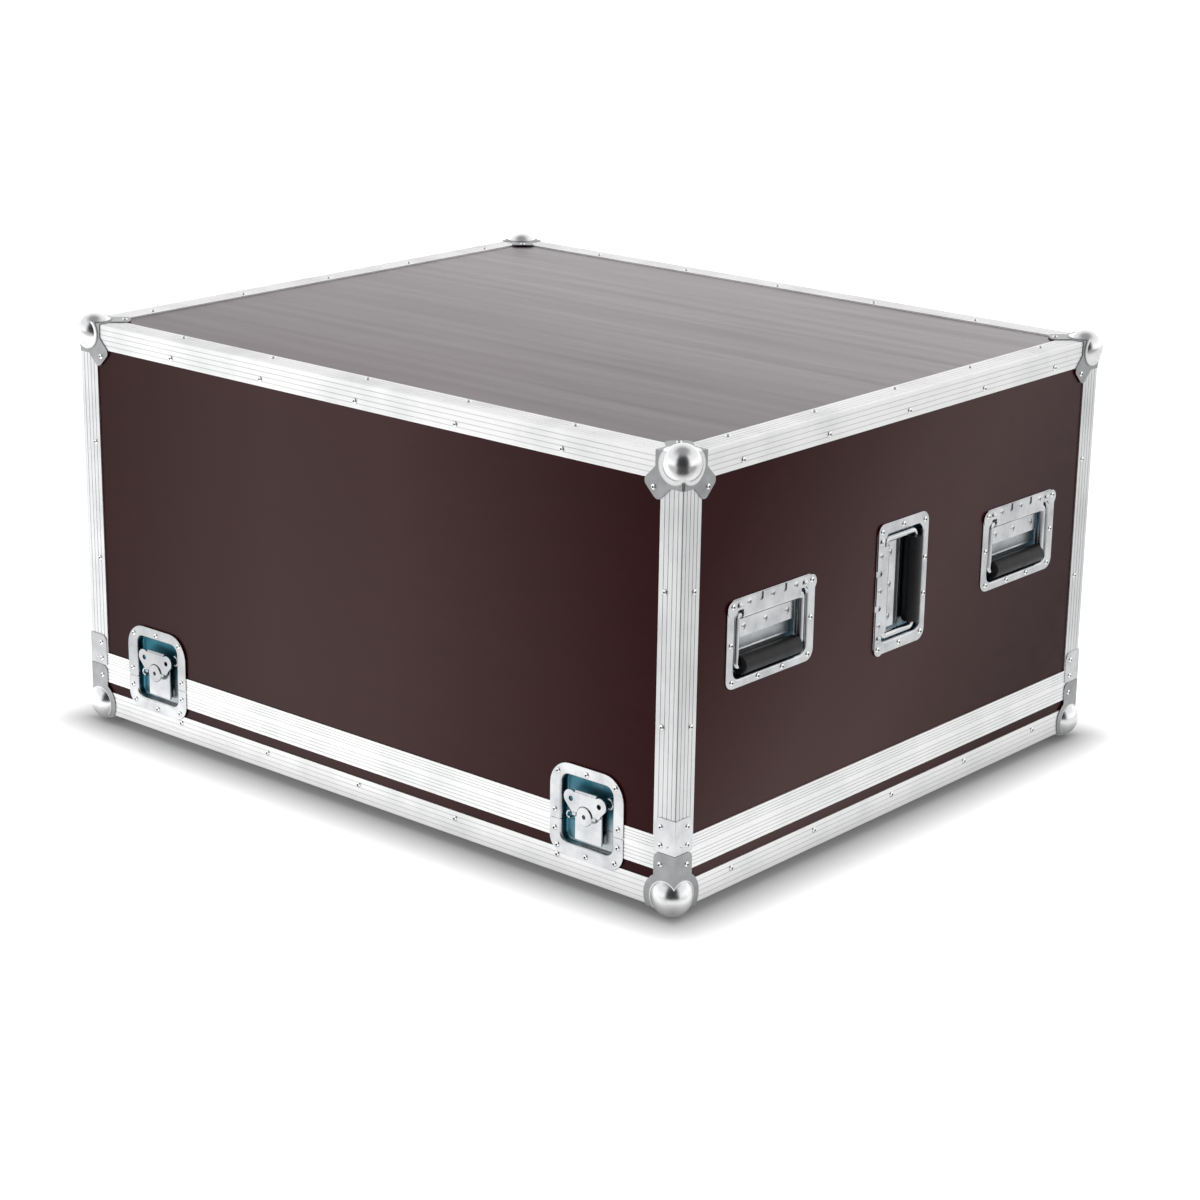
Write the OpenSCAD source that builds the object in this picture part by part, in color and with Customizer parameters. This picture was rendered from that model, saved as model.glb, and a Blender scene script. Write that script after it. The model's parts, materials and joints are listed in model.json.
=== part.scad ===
// Road case: a shallow base tray and a tall hood that lifts off it.
// Plywood panels sit in ribbed aluminium edging, with ball corners, butterfly
// latches in split dishes, and sprung handles in recessed dishes.
// The front faces -Y, and the origin is on the floor under the case's middle.

/* [Case] */
// Width over the edging, left to right
case_w = 946; // [880:1:1200]
// Depth over the edging, front to back
case_d = 796; // [760:1:1000]
// Height over the edging, without the ball corners
case_h = 500; // [440:1:700]
// Height of the split between tray and hood above the underside of the edging
split_h = 64; // [62:1:80]
// Thickness of the plywood
ply = 9; // [8:0.5:12]

/* [Edging] */
// Leg width of the edge angles
angle_leg = 30; // [28:1:33]
// Metal thickness of the edge angles and closing rails
angle_t = 1.5; // [1.2:0.1:2]
// Grooves along each leg of an angle
groove_count = 4; // [2:1:5]
// Width of a groove
groove_w = 0.8; // [0.5:0.1:1.2]
// Depth of a groove
groove_depth = 0.3; // [0.2:0.05:0.5]
// Gap left at the mitres
mitre_gap = 0.2; // [0.1:0.05:0.4]
// Height of the hood's closing rail
hood_rail_h = 17; // [15:0.5:20]
// Height of the tray's closing rail
tray_rail_h = 21.5; // [16:0.5:22]
// Width of the tongue on the tray's closing rail
tongue_w = 3.6; // [3:0.2:5]
// Height of the tongue
tongue_h = 4.5; // [3:0.5:6]
// Clearance round the tongue in its groove
tongue_gap = 0.3; // [0.2:0.05:0.5]
// Metal between the groove or the split and the plywood's edge
rail_web = 2; // [1.5:0.1:3]

/* [Rivets] */
// Radius of a rivet's head
rivet_r = 3.5; // [3:0.1:4]
// Height of a rivet's head
rivet_h = 1.6; // [1.2:0.1:2]
// Radius of the hollow in the head
rivet_hole_r = 0.9; // [0.5:0.1:1.2]
// Rivets along each edge angle
edge_rivets = 5; // [3:2:5]
// Rivet spacing along the width
rivet_pitch_w = 154; // [140:1:160]
// Rivet spacing along the depth
rivet_pitch_d = 150; // [120:1:155]
// Rivet spacing along the upright angles
rivet_pitch_h = 148; // [100:1:150]
// Distance of the edge rivets from the arris
rivet_inset = 21.5; // [18:0.5:24]

/* [Ball corners] */
// Radius of the base balls
ball_r = 23.5; // [22:0.5:26]
// Radius of the top balls
top_ball_r = 21.5; // [21:0.5:24]
// Distance of a base ball's centre from each outer face
ball_inset = 13; // [12:0.5:13.5]
// Distance of a top ball's centre from each outer face
top_ball_inset = 12; // [11:0.2:12.4]
// Distance from the corner at which the flanges end under the ball
flange_clear = 8; // [7:0.5:9]
// Wall of the ball and of its raised rim
ball_wall = 2; // [1.5:0.1:2.5]
// Sheet thickness of all pressed steel
sheet_t = 1.2; // [1:0.1:1.5]
// Radius of the raised rim round a top ball
rim_r = 22; // [21:0.5:25]
// Height of the raised rim above the edging
rim_h = 2; // [1.6:0.1:2.6]
// Half width of a leaf
leaf_half = 14.6; // [12:0.1:16]
// Reach of a leaf from the case's corner
leaf_end = 61.4; // [58:0.2:66]
// Corner radius of a leaf's end
leaf_corner_r = 7; // [4:0.5:9]
// Distance of a leaf's rivet from both edges
leaf_reach = 38.5; // [36:0.5:40]
// Reach of the tabs along the edges
tab_reach = 37; // [34:0.5:38]
// Width of the slit between two leaves at the upright arris
slit_w = 2; // [1:0.5:3]
// Radius of the round flange on a base corner
flare_r = 28; // [26:0.5:30]
// Width of a corner brace on each face
brace_w = 28; // [27:0.5:30]
// Height of the hood's corner brace above the split
brace_h = 39.5; // [36:0.5:50]
// Radius of a brace's free corners
brace_corner_r = 8; // [4:0.5:10]
// Distance of a brace's rivets from the arris
brace_rivet_inset = 19; // [17:0.5:21]
// Height of a hood brace's lower rivet above the split
brace_rivet_rise = 8.5; // [7:0.5:10]
// Depth of a base brace's rivet below the split
base_rivet_drop = 13.7; // [12:0.1:18]
// Spacing of the two rivets on a hood brace
brace_rivet_pitch = 20.7; // [18:0.1:24]
// Radius of the small screw head on a hood brace
screw_r = 1.5; // [1:0.1:2]
// Distance of the small screw from the arris
screw_inset = 9.3; // [7:0.1:11]

/* [Latch dish] */
// Distance of a latch from the nearer end of the case
latch_inset = 123; // [118:1:200]
// Width of the dish's flange
latch_w = 105; // [100:1:112]
// Height of the flange above the split
latch_up = 68; // [66:1:74]
// Height of the flange below the split
latch_down = 40; // [38:1:41]
// Corner radius at the top of the flange
latch_top_r = 28; // [20:1:32]
// Corner radius at the bottom of the flange
latch_bottom_r = 20; // [18:1:24]
// Width of the recess
recess_w = 73; // [70:1:76]
// Height of the recess above the split
recess_up = 54; // [50:1:55]
// Depth of the recess below the split
recess_down = 24.5; // [24:0.5:26]
// Corner radius of the recess
recess_r = 10; // [6:1:14]
// Clearance of a dish in its cut-out, and between the halves of a latch dish
dish_gap = 0.5; // [0.3:0.1:1]
// Places of the rivets on the upper half, from the split
upper_rivets = [[-41, 56], [41, 56], [0, 60.5], [-45, 10], [45, 10]];
// Places of the rivets on the lower half, from the split
lower_rivets = [[-41, -30.5], [41, -30.5], [0, -34.5], [-45, -11.5], [45, -11.5]];

/* [Latch mechanism] */
// Height of the hub above the split
hub_rise = 13; // [12:0.5:15]
// Radius of the hub's disc
hub_r = 11; // [10:0.5:12]
// Thickness of the hub's disc
hub_disc_t = 2.2; // [1.8:0.1:2.6]
// Radius of the hollow in the hub's disc
hub_hollow_r = 2.2; // [1.5:0.1:3]
// How far the hub's disc sits in the wing's notch
disc_sink = 0.8; // [0.4:0.1:1]
// Radius of the hub's boss behind the disc
boss_r = 7.5; // [6.5:0.5:8.5]
// Radius of the hub's stem in the dish
stem_r = 4; // [3:0.5:4.5]
// Thickness of the wing
wing_t = 2; // [1.6:0.1:2.2]
// Gap between the wing and the flange
wing_gap = 0.6; // [0.5:0.1:1]
// Centre of a wing's ear, sideways and upwards from the hub
ear_at = [21, 17.5]; // [18:0.5:22]
// Radius of an ear
ear_r = 9; // [8:0.5:10]
// Place of the hole in an ear
ear_hole_at = [20, 16.5]; // [16:0.5:21]
// Radius of the hole in an ear
ear_hole_r = 2.4; // [2:0.1:3]
// Radius of the rolled edge at the top of the wing
roll_r = 2.4; // [2:0.1:2.6]
// Height of the rolled edge above the hub
roll_rise = 25; // [24:0.5:27]
// Half length of the rolled edge
roll_reach = 15; // [13:0.5:17]
// How far the rolled edge lies behind the middle of the wing
roll_back = 2.2; // [1.8:0.1:2.4]
// Radius of the pin that the wing folds on
pin_r = 1.5; // [1.2:0.1:1.7]
// Clearance of a pin or stem in its bore
bore_gap = 0.05; // [0.02:0.01:0.08]
// Wall of a rolled knuckle
knuckle_wall = 1.05; // [0.9:0.05:1.2]
// Length of a knuckle
knuckle_len = 4.7; // [4:0.1:6]
// Clearance between the wing and the hub
wing_clear = 0.8; // [0.6:0.1:1.2]
// Width of the hook plate
hook_w = 38; // [32:1:40]
// Thickness of the hook plate
hook_t = 2; // [1.5:0.1:2.2]
// Depth of the hook plate's front behind the edging
hook_depth = 2.5; // [2:0.1:2.8]
// Reach of the hook above the hub
hook_top = 15; // [13:0.5:17]
// Depth of the hook's claw below the split
hook_bottom = 19; // [17:0.5:19.5]
// Travel of the hook
hook_travel = 4; // [3:0.5:4]
// Height of the claw
claw_h = 2; // [1.5:0.1:2.5]
// Clearance in front of and under the keeper's lip
claw_gap = 0.4; // [0.3:0.05:0.5]
// How far the keeper's lip stands off the dish's floor
lip_t = 1.4; // [1:0.1:1.6]
// Height of the keeper's lip
lip_h = 10; // [8:0.5:11]
// Radius of the wire of the staples in the dish
wire_r = 1.25; // [1:0.05:1.4]
// Centres of the two staples, from the split
staple_at = [[27.5, 33], [-28, 7]];
// Bend radii of the two staples
staple_radii = [5.6, 3.8];
// Depth of a staple's bow behind the edging
staple_depth = 4.2; // [3.8:0.1:5]

/* [Handles] */
// Distance of the outer handles from the middle of the end
handle_pitch = 242; // [225:1:260]
// Height of the handles above the underside of the edging
handle_z = 277.5; // [240:0.5:300]
// Width of the dish's flange
handle_w = 154; // [148:1:160]
// Height of the dish's flange
handle_h = 100; // [98:1:110]
// Corner radius of the flange
handle_corner_r = 13; // [8:1:16]
// Width of the recess
well_w = 126; // [124:1:130]
// Top of the recess above the dish's middle
well_top = 36; // [35:0.5:38]
// Bottom of the recess below the dish's middle
well_bottom = 40; // [39:0.5:41]
// Corner radius of the recess
well_r = 9; // [5:1:12]
// Depth of the recess behind the panel's face
well_depth = 14.5; // [14:0.5:18]
// Radius of the bail's wire
bail_r = 4; // [3.5:0.1:4.2]
// Distance between the middles of the bail's legs
bail_w = 114; // [112:1:116]
// Bend radius of the bail
bail_bend = 5.5; // [5:0.5:7]
// Length of the bail's axle in each end of the hinge roll
axle_len = 22; // [15:1:40]
// Height of the hinge above the dish's middle
hinge_rise = 30; // [29:0.5:30.5]
// Height of the grip below the dish's middle
grip_drop = 27; // [24:0.5:28]
// Depth of the bail behind the panel's face
bail_depth = 2.8; // [2.5:0.1:3.2]
// Radius of the grip
grip_r = 10.5; // [9.5:0.1:11]
// Rounding of the grip's ends
grip_edge = 1.8; // [1:0.1:2.5]
// Gap between the grip, or the hinge roll, and the bail's bends
bend_gap = 1; // [0.6:0.1:1.5]
// Thickness of the hinge plate
hinge_t = 1.2; // [1:0.1:1.4]
// How far the hinge plate's strip reaches past each end of the flange
strip_over = 0.6; // [0:0.1:1]
// Corner radius of the strip
strip_r = 9; // [6:0.5:10]
// Height of the hinge plate's strip
strip_h = 12; // [10:0.5:12.5]
// Lower edge of the hinge plate's apron above the dish's middle
apron_bottom = 2; // [0:0.5:6]
// Radius of the pressed dimples on the hinge plate
dimple_r = 4; // [3:0.1:4.5]
// Height of the pressed dimples
dimple_h = 1.4; // [1:0.1:1.8]
// Radius of the pressed knobs over the bail's bends
knob_r = 4.8; // [4:0.1:5]
// Height of the pressed knobs
knob_h = 2.6; // [2:0.1:3.2]
// Spacing of the dimples on the strip
strip_dimple_pitch = 41; // [36:0.5:44]
// Spacing of the dimples on the apron
apron_dimple_pitch = 38; // [34:0.5:42]
// Width of the notches in the strip
notch_w = 7; // [5:0.5:8]
// Depth of the notches in the strip
notch_h = 9; // [7:0.5:10]
// Distance of the side rivets from the flange's edge
side_rivet_inset = 7; // [6:0.5:8]
// Distance of the lower rivets from the flange's lower edge
lower_rivet_inset = 5; // [4.5:0.5:5.5]
// Distance of the corner rivets from both edges of the flange
corner_rivet_inset = 8; // [7:0.5:9]
// Spacing of the lower rivets
lower_rivet_pitch = 43; // [30:1:60]

/* [Hidden] */
$fn = 48;
cut = 1;
far = 2000;
half_w = case_w / 2;
half_d = case_d / 2;
latch_x = half_w - latch_inset;
wall_x = half_w - angle_t;
wall_y = half_d - angle_t;
inner_x = wall_x - ply;
inner_y = wall_y - ply;
ball_proud = ball_r - ball_inset;
base_z = ball_proud;
split_z = base_z + split_h;
top_z = base_z + case_h;
floor_z = base_z + angle_t + ply;
ceiling_z = top_z - angle_t - ply;
rail_w = ply + 2 * angle_t;
hood_web = tongue_h + tongue_gap + rail_web;
brace_top = split_h - dish_gap / 2;

// Latch levels, inwards from the edging's outer face
dish_back = angle_t + ply;
dish_floor = dish_back - sheet_t;
wing_back = -sheet_t - wing_gap;
pin_depth = wing_back - wing_t / 2;
disc_back = wing_back - wing_t + disc_sink;
boss_back = pin_depth + pin_r + disc_sink;
claw_reach = dish_floor - lip_t - claw_gap;
knuckle_r = pin_r + bore_gap + knuckle_wall;
knuckle_x = hub_r + wing_clear;
pin_reach = knuckle_x + knuckle_len;

// Handle levels, inwards from the panel's outer face
hinge_bore_r = bail_r + bore_gap;
hinge_roll_r = hinge_bore_r + hinge_t;
leg_x = bail_w / 2;
grip_reach = leg_x - bail_bend - bend_gap;
strip_z = well_top + bend_gap;
strip_top = strip_z + strip_h;
strip_reach = handle_w / 2 + strip_over;
strip_face = sheet_t + hinge_t;
apron_z = (apron_bottom + hinge_rise - hinge_roll_r) / 2;

latch_names = ["front_left", "front_right", "back_left", "back_right"];
handle_names = ["right_front", "right_middle", "right_rear", "left_front", "left_middle", "left_rear"];

ply_brown = "#3f2c2e";
bright_aluminium = "#dcdddd";
zinc_steel = "#c3c8cb";
polished_steel = "#d3d4d6";
black_rubber = "#1d1b1b";

// Shapes that repeat

// A flat plate from y0 to y1, drawn as (x, z)
module plate(y0, y1) {
    translate([0, y1, 0]) rotate([90, 0, 0]) linear_extrude(y1 - y0) children();
}

// A round bar along X
module bar_x(x0, x1, r) {
    translate([x0, 0, 0]) rotate([0, 90, 0]) cylinder(r = r, h = x1 - x0);
}

// A round bar along Y
module bar_y(y0, y1, r) {
    translate([0, y0, 0]) rotate([-90, 0, 0]) cylinder(r = r, h = y1 - y0);
}

// A rectangle with one radius at its two lower corners and another at its upper ones
module rounded_box(low, high, r_low, r_high) {
    r_wide = max(r_low, r_high);
    translate([low.x, low.y + r_low]) square([high.x - low.x, high.y - low.y - r_low - r_high]);
    translate([low.x + r_wide, low.y]) square([high.x - low.x - 2 * r_wide, high.y - low.y]);
    for (x = [low.x + r_low, high.x - r_low]) translate([x, low.y + r_low]) circle(r_low);
    for (x = [low.x + r_high, high.x - r_high]) translate([x, high.y - r_high]) circle(r_high);
    middle = (low.y + high.y) / 2;
    translate([low.x + r_low, low.y]) square([high.x - low.x - 2 * r_low, middle - low.y]);
    translate([low.x + r_high, middle]) square([high.x - low.x - 2 * r_high, high.y - middle]);
}

// Two circles and the tangents that join them
module strap(c1, r1, c2, r2) {
    across = c2 - c1;
    heading = atan2(across.y, across.x);
    lean = acos((r1 - r2) / norm(across));
    translate(c1) circle(r1);
    translate(c2) circle(r2);
    polygon([
        c1 + r1 * [cos(heading + lean), sin(heading + lean)],
        c2 + r2 * [cos(heading + lean), sin(heading + lean)],
        c2 + r2 * [cos(heading - lean), sin(heading - lean)],
        c1 + r1 * [cos(heading - lean), sin(heading - lean)]
    ]);
}

// Low dome on the XY plane, used for rivets, screws and pressed dimples
module dome(r, h, hole_r) {
    sphere_r = (r * r + h * h) / (2 * h);
    rotate_extrude() difference() {
        intersection() {
            translate([0, h - sphere_r]) circle(sphere_r);
            square([r, h]);
        }
        if (hole_r > 0) translate([0, h / 2]) square([hole_r, h]);
    }
}

module rivet() {
    dome(rivet_r, rivet_h, rivet_hole_r);
}

// A dome or rivet on a face that looks to -Y
module on_front(x, y, z) {
    translate([x, y, z]) rotate([90, 0, 0]) children();
}

// Half the depth and the length of the case as seen from side 0 to 3, starting at the front
function reach(side) = side % 2 == 0 ? half_d : half_w;
function run(side) = side % 2 == 0 ? case_w : case_d;
function pitch(side) = side % 2 == 0 ? rivet_pitch_w : rivet_pitch_d;

// Repeats what is drawn for the front on all four sides, as a mitred extrusion
// whose profile is drawn as (inwards, upwards)
module mitred_ring(z, depth) {
    for (side = [0:3]) rotate([0, 0, 90 * side]) translate([0, -reach(side), z]) intersection() {
        translate([-run(side) / 2, 0, 0]) rotate([90, 0, 90]) linear_extrude(run(side)) children();
        end = (run(side) - mitre_gap) / 2;
        translate([0, 0, -far]) linear_extrude(2 * far)
            polygon([[-end, 0], [end, 0], [end - depth, depth], [depth - end, depth]]);
    }
}

// A frame at each upright arris: X and Y run inwards along the two faces
module at_corners(z) {
    for (sx = [-1, 1], sy = [-1, 1]) translate([sx * half_w, sy * half_d, z])
        mirror([sx > 0 ? 1 : 0, 0, 0]) mirror([0, sy > 0 ? 1 : 0, 0]) children();
}

// A frame on the split line at a latch: X to the right, Y inwards
module at_latch(i) {
    x = i % 2 == 0 ? -latch_x : latch_x;
    if (i < 2) translate([x, -half_d, split_z]) children();
    else rotate([0, 0, 180]) translate([-x, -half_d, split_z]) children();
}

// A frame on the panel at a handle: X along the hinge, Y inwards
module at_handle(i) {
    side = i < 3 ? 1 : -1;
    place = i % 3 - 1;
    rotate([0, 0, 90 * side]) translate([side * place * handle_pitch, -wall_x, base_z + handle_z])
        rotate([0, place == 0 ? -90 * side : 0, 0]) children();
}

// Plywood

module panel(low, high) {
    translate(low) cube(high - low);
}

module base_panel() {
    color(ply_brown) panel([-wall_x, -wall_y, base_z + angle_t], [wall_x, wall_y, floor_z]);
}

module top_panel() {
    color(ply_brown) panel([-wall_x, -wall_y, ceiling_z], [wall_x, wall_y, top_z - angle_t]);
}

module latch_cutouts(depth) {
    wide = recess_w + 2 * (sheet_t + dish_gap);
    below = recess_down + sheet_t + dish_gap;
    above = recess_up + sheet_t + dish_gap;
    for (i = [0:3]) at_latch(i)
        translate([-wide / 2, -cut, -below]) cube([wide, depth + cut, below + above]);
}

module handle_cutouts() {
    wide = well_w + 2 * (sheet_t + dish_gap);
    below = well_bottom + sheet_t + dish_gap;
    above = well_top + sheet_t + dish_gap;
    for (i = [0:5]) at_handle(i)
        translate([-wide / 2, -cut, -below]) cube([wide, ply + 2 * cut, below + above]);
}

// A wall at the front or back, from z0 to z1
module long_wall(y_sign, z0, z1) {
    color(ply_brown) difference() {
        panel(
            [-wall_x, y_sign > 0 ? inner_y : -wall_y, z0],
            [wall_x, y_sign > 0 ? wall_y : -inner_y, z1]
        );
        latch_cutouts(dish_back + cut);
    }
}

// A wall at the left or right, between the long walls
module short_wall(x_sign, z0, z1) {
    color(ply_brown) difference() {
        panel(
            [x_sign > 0 ? inner_x : -wall_x, -inner_y, z0],
            [x_sign > 0 ? wall_x : -inner_x, inner_y, z1]
        );
        handle_cutouts();
    }
}

module tray_long_wall(y_sign) {
    long_wall(y_sign, floor_z, split_z - rail_web);
}

module tray_short_wall(x_sign) {
    short_wall(x_sign, floor_z, split_z - rail_web);
}

module hood_long_wall(y_sign) {
    long_wall(y_sign, split_z + hood_web, ceiling_z);
}

module hood_short_wall(x_sign) {
    short_wall(x_sign, split_z + hood_web, ceiling_z);
}

// Aluminium edging

// Grooves in a leg of the given width that lies along X, cut into its face at y = 0
module leg_grooves(leg) {
    step = leg / (groove_count + 1);
    for (k = [1:groove_count])
        translate([k * step - groove_w / 2, -cut]) square([groove_w, groove_depth + cut]);
}

// The angle's profile, with its arris at the origin and its legs along X and Y
module angle_profile() {
    difference() {
        square(angle_leg);
        translate([angle_t, angle_t]) square(angle_leg);
        leg_grooves(angle_leg);
        mirror([1, -1]) leg_grooves(angle_leg);
    }
}

module base_angles() {
    color(bright_aluminium) mitred_ring(base_z, angle_leg) angle_profile();
}

module top_angles() {
    color(bright_aluminium) mitred_ring(top_z, angle_leg) mirror([0, 1]) angle_profile();
}

module corner_angles() {
    low = split_z + hood_rail_h;
    color(bright_aluminium) at_corners(low) linear_extrude(top_z - angle_leg - low) angle_profile();
}

module hood_rail_profile() {
    difference() {
        square([rail_w, hood_rail_h]);
        translate([angle_t, hood_web]) square([ply, hood_rail_h]);
        translate([(rail_w - tongue_w) / 2 - tongue_gap, -cut])
            square([tongue_w + 2 * tongue_gap, tongue_h + tongue_gap + cut]);
        mirror([1, -1]) leg_grooves(hood_rail_h);
    }
}

module tray_rail_profile() {
    difference() {
        translate([0, -tray_rail_h]) square([rail_w, tray_rail_h]);
        translate([angle_t, -tray_rail_h - cut]) square([ply, tray_rail_h - rail_web + cut]);
        translate([0, -tray_rail_h]) mirror([1, -1]) leg_grooves(tray_rail_h);
    }
    taper = tongue_w / 4;
    translate([rail_w / 2, 0]) polygon([
        [-tongue_w / 2, -rail_web / 2], [tongue_w / 2, -rail_web / 2], [tongue_w / 2, tongue_h - taper],
        [tongue_w / 2 - taper, tongue_h], [taper - tongue_w / 2, tongue_h], [-tongue_w / 2, tongue_h - taper]
    ]);
}

module hood_rails() {
    color(bright_aluminium) difference() {
        mitred_ring(split_z, rail_w) hood_rail_profile();
        latch_cutouts(dish_back);
    }
}

module tray_rails() {
    color(bright_aluminium) difference() {
        mitred_ring(split_z, rail_w) tray_rail_profile();
        latch_cutouts(dish_back);
    }
}

// Ball corners and braces, each drawn with its faces running inwards along +X, +Y and +Z

module leaf_outline() {
    tab_in = tab_reach - leaf_half;
    rotate(-45) rounded_box([-leaf_half, leaf_half], [leaf_half, leaf_end], 1, leaf_corner_r);
    polygon([
        [-sheet_t, -sheet_t], [tab_reach, -sheet_t], [tab_reach, tab_in],
        [tab_in, tab_reach], [-sheet_t, tab_reach]
    ]);
}

// A round flange that stays inside the two neighbouring faces
module flange_outline(inset, r, edge) {
    intersection() {
        translate([inset, inset]) circle(r);
        translate([-edge, -edge]) square(far);
    }
}

// The hollow ball with what is drawn as its flanges, clear of the edging inside it
module ball_with(inset, r) {
    middle = [inset, inset, inset];
    difference() {
        union() {
            translate(middle) sphere(r);
            difference() {
                children();
                translate([-far / 2, -far / 2, -far / 2]) cube(far / 2 + flange_clear);
            }
        }
        translate(middle) sphere(r - ball_wall);
        cube(far);
    }
}

module top_ball_corner() {
    arris_end = top_ball_inset + sqrt(top_ball_r * top_ball_r - 2 * top_ball_inset * top_ball_inset);
    difference() {
        ball_with(top_ball_inset, top_ball_r) for (face = [0:2]) rotate(120 * face, [1, 1, 1]) {
            plate(-sheet_t, 0) leaf_outline();
            plate(-rim_h, 0) flange_outline(top_ball_inset, rim_r, rim_h);
        }
        translate([-far / 2, -far / 2, arris_end + slit_w]) intersection() {
            cube([far / 2 + slit_w / 2, far / 2 + slit_w / 2, far]);
            translate([far / 2 - 2 * rim_h, far / 2 - 2 * rim_h, 0]) cube(far);
        }
    }
}

module base_ball_corner() {
    ball_with(ball_inset, ball_r) {
        for (swap = [0, 1]) mirror([swap, -swap, 0]) plate(-sheet_t, 0) {
            translate([-sheet_t, 0]) square([brace_w / 2 + sheet_t, brace_top]);
            rounded_box([0, 0], [brace_w, brace_top], sheet_t, brace_corner_r);
            flange_outline(ball_inset, flare_r, sheet_t);
        }
        rotate(120, [1, 1, 1]) plate(-sheet_t, 0) leaf_outline();
    }
}

module hood_corner_brace() {
    for (swap = [0, 1]) mirror([swap, -swap, 0]) plate(-sheet_t, 0) {
        translate([-sheet_t, dish_gap / 2]) square([brace_w / 2 + sheet_t, brace_h - dish_gap / 2]);
        rounded_box([0, dish_gap / 2], [brace_w, brace_h], sheet_t, brace_corner_r);
    }
}

module top_ball_corners() {
    color(polished_steel) at_corners(top_z) mirror([0, 0, 1]) top_ball_corner();
}

module base_ball_corners() {
    color(polished_steel) at_corners(base_z) base_ball_corner();
}

module hood_corner_braces() {
    color(zinc_steel) at_corners(split_z) hood_corner_brace();
}

// Latch dishes

module latch_recess(grow) {
    rounded_box(
        [-recess_w / 2 - grow, -recess_down - grow], [recess_w / 2 + grow, recess_up + grow],
        recess_r + grow, recess_r + grow
    );
}

// The whole pressed dish, both halves
module latch_pressing() {
    difference() {
        union() {
            plate(-sheet_t, 0) rounded_box(
                [-latch_w / 2, -latch_down], [latch_w / 2, latch_up], latch_bottom_r, latch_top_r
            );
            plate(-sheet_t, dish_back) latch_recess(sheet_t);
        }
        plate(-sheet_t - cut, dish_floor) latch_recess(0);
    }
}

module latch_dish() {
    difference() {
        intersection() {
            latch_pressing();
            translate([-far / 2, -far / 2, dish_gap / 2]) cube(far);
        }
        translate([0, 0, hub_rise]) bar_y(0, dish_back + cut, stem_r + bore_gap);
    }
}

module latch_keeper() {
    lip_z = -hook_bottom + claw_h + claw_gap;
    intersection() {
        latch_pressing();
        translate([-far / 2, -far / 2, -far - dish_gap / 2]) cube(far);
    }
    translate([-hook_w / 2, dish_floor - lip_t, lip_z]) cube([hook_w, lip_t + sheet_t / 2, lip_h]);
}

// A bow of wire that opens towards the hub, with two legs to the dish's floor
module staple(at, r) {
    legs = dish_floor - staple_depth;
    translate([at.x, staple_depth, at.y]) {
        rotate([90, at.x > 0 ? 0 : 180, 0]) rotate([0, 0, -90]) rotate_extrude(angle = 180)
            translate([r, 0]) circle(wire_r);
        for (s = [-1, 1]) translate([0, 0, s * r]) {
            sphere(wire_r);
            bar_y(0, legs, wire_r);
        }
    }
}

module latch_dishes() {
    color(zinc_steel) for (i = [0:3]) at_latch(i) latch_dish();
}

module latch_keepers() {
    color(zinc_steel) for (i = [0:3]) at_latch(i) latch_keeper();
}

module latch_staples() {
    color(zinc_steel) for (i = [0:3]) at_latch(i) for (k = [0, 1]) staple(staple_at[k], staple_radii[k]);
}

// Latch mechanism

module latch_hub() {
    disc_front = disc_back - hub_disc_t;
    bevel = hub_disc_t / 3;
    color(zinc_steel) translate([0, 0, hub_rise]) {
        translate([0, disc_front, 0]) rotate([-90, 0, 0]) rotate_extrude() polygon([
            [0, bevel], [hub_hollow_r, bevel], [hub_hollow_r, 0], [hub_r - bevel, 0],
            [hub_r, bevel], [hub_r, hub_disc_t], [0, hub_disc_t]
        ]);
        bar_y(disc_back - hub_disc_t / 4, boss_back, boss_r);
        bar_y(disc_back, dish_back, stem_r);
        translate([0, pin_depth, 0]) bar_x(-pin_reach, pin_reach, pin_r);
    }
}

module wing_outline() {
    tip = [knuckle_x + knuckle_len / 2, 0];
    difference() {
        union() {
            for (s = [-1, 1]) strap([s * ear_at.x, ear_at.y], ear_r, [s * tip.x, tip.y], knuckle_len / 2);
            polygon([
                [-ear_at.x, ear_at.y], [-tip.x, 0], [tip.x, 0], [ear_at.x, ear_at.y],
                [roll_reach, roll_rise], [-roll_reach, roll_rise]
            ]);
        }
        circle(knuckle_x);
        translate([-knuckle_x, -far]) square([2 * knuckle_x, far]);
        for (s = [-1, 1]) translate([s * ear_hole_at.x, ear_hole_at.y]) circle(ear_hole_r);
    }
}

module latch_wing() {
    color(zinc_steel) translate([0, pin_depth, hub_rise]) difference() {
        union() {
            plate(-wing_t / 2, wing_t / 2) wing_outline();
            translate([0, roll_back, roll_rise]) bar_x(-roll_reach, roll_reach, roll_r);
            for (s = [0, 1]) mirror([s, 0, 0]) bar_x(knuckle_x, pin_reach, knuckle_r);
        }
        bar_x(-far, far, pin_r + bore_gap);
    }
}

module latch_hook() {
    slot_r = stem_r + claw_gap;
    top = hub_rise + hook_top;
    color(zinc_steel) difference() {
        union() {
            plate(hook_depth, hook_depth + hook_t)
                rounded_box([-hook_w / 2, -hook_bottom], [hook_w / 2, top], claw_h / 2, hook_top / 2);
            translate([-hook_w / 2 + claw_h, hook_depth + hook_t / 2, -hook_bottom])
                cube([hook_w - 2 * claw_h, claw_reach - hook_depth - hook_t / 2, claw_h]);
        }
        plate(hook_depth - cut, hook_depth + hook_t + cut)
            strap([0, hub_rise], slot_r, [0, hub_rise + hook_travel], slot_r);
    }
}

// Handles

module well_outline(grow) {
    rounded_box(
        [-well_w / 2 - grow, -well_bottom - grow], [well_w / 2 + grow, well_top + grow],
        well_r + grow, well_r + grow
    );
}

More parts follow.
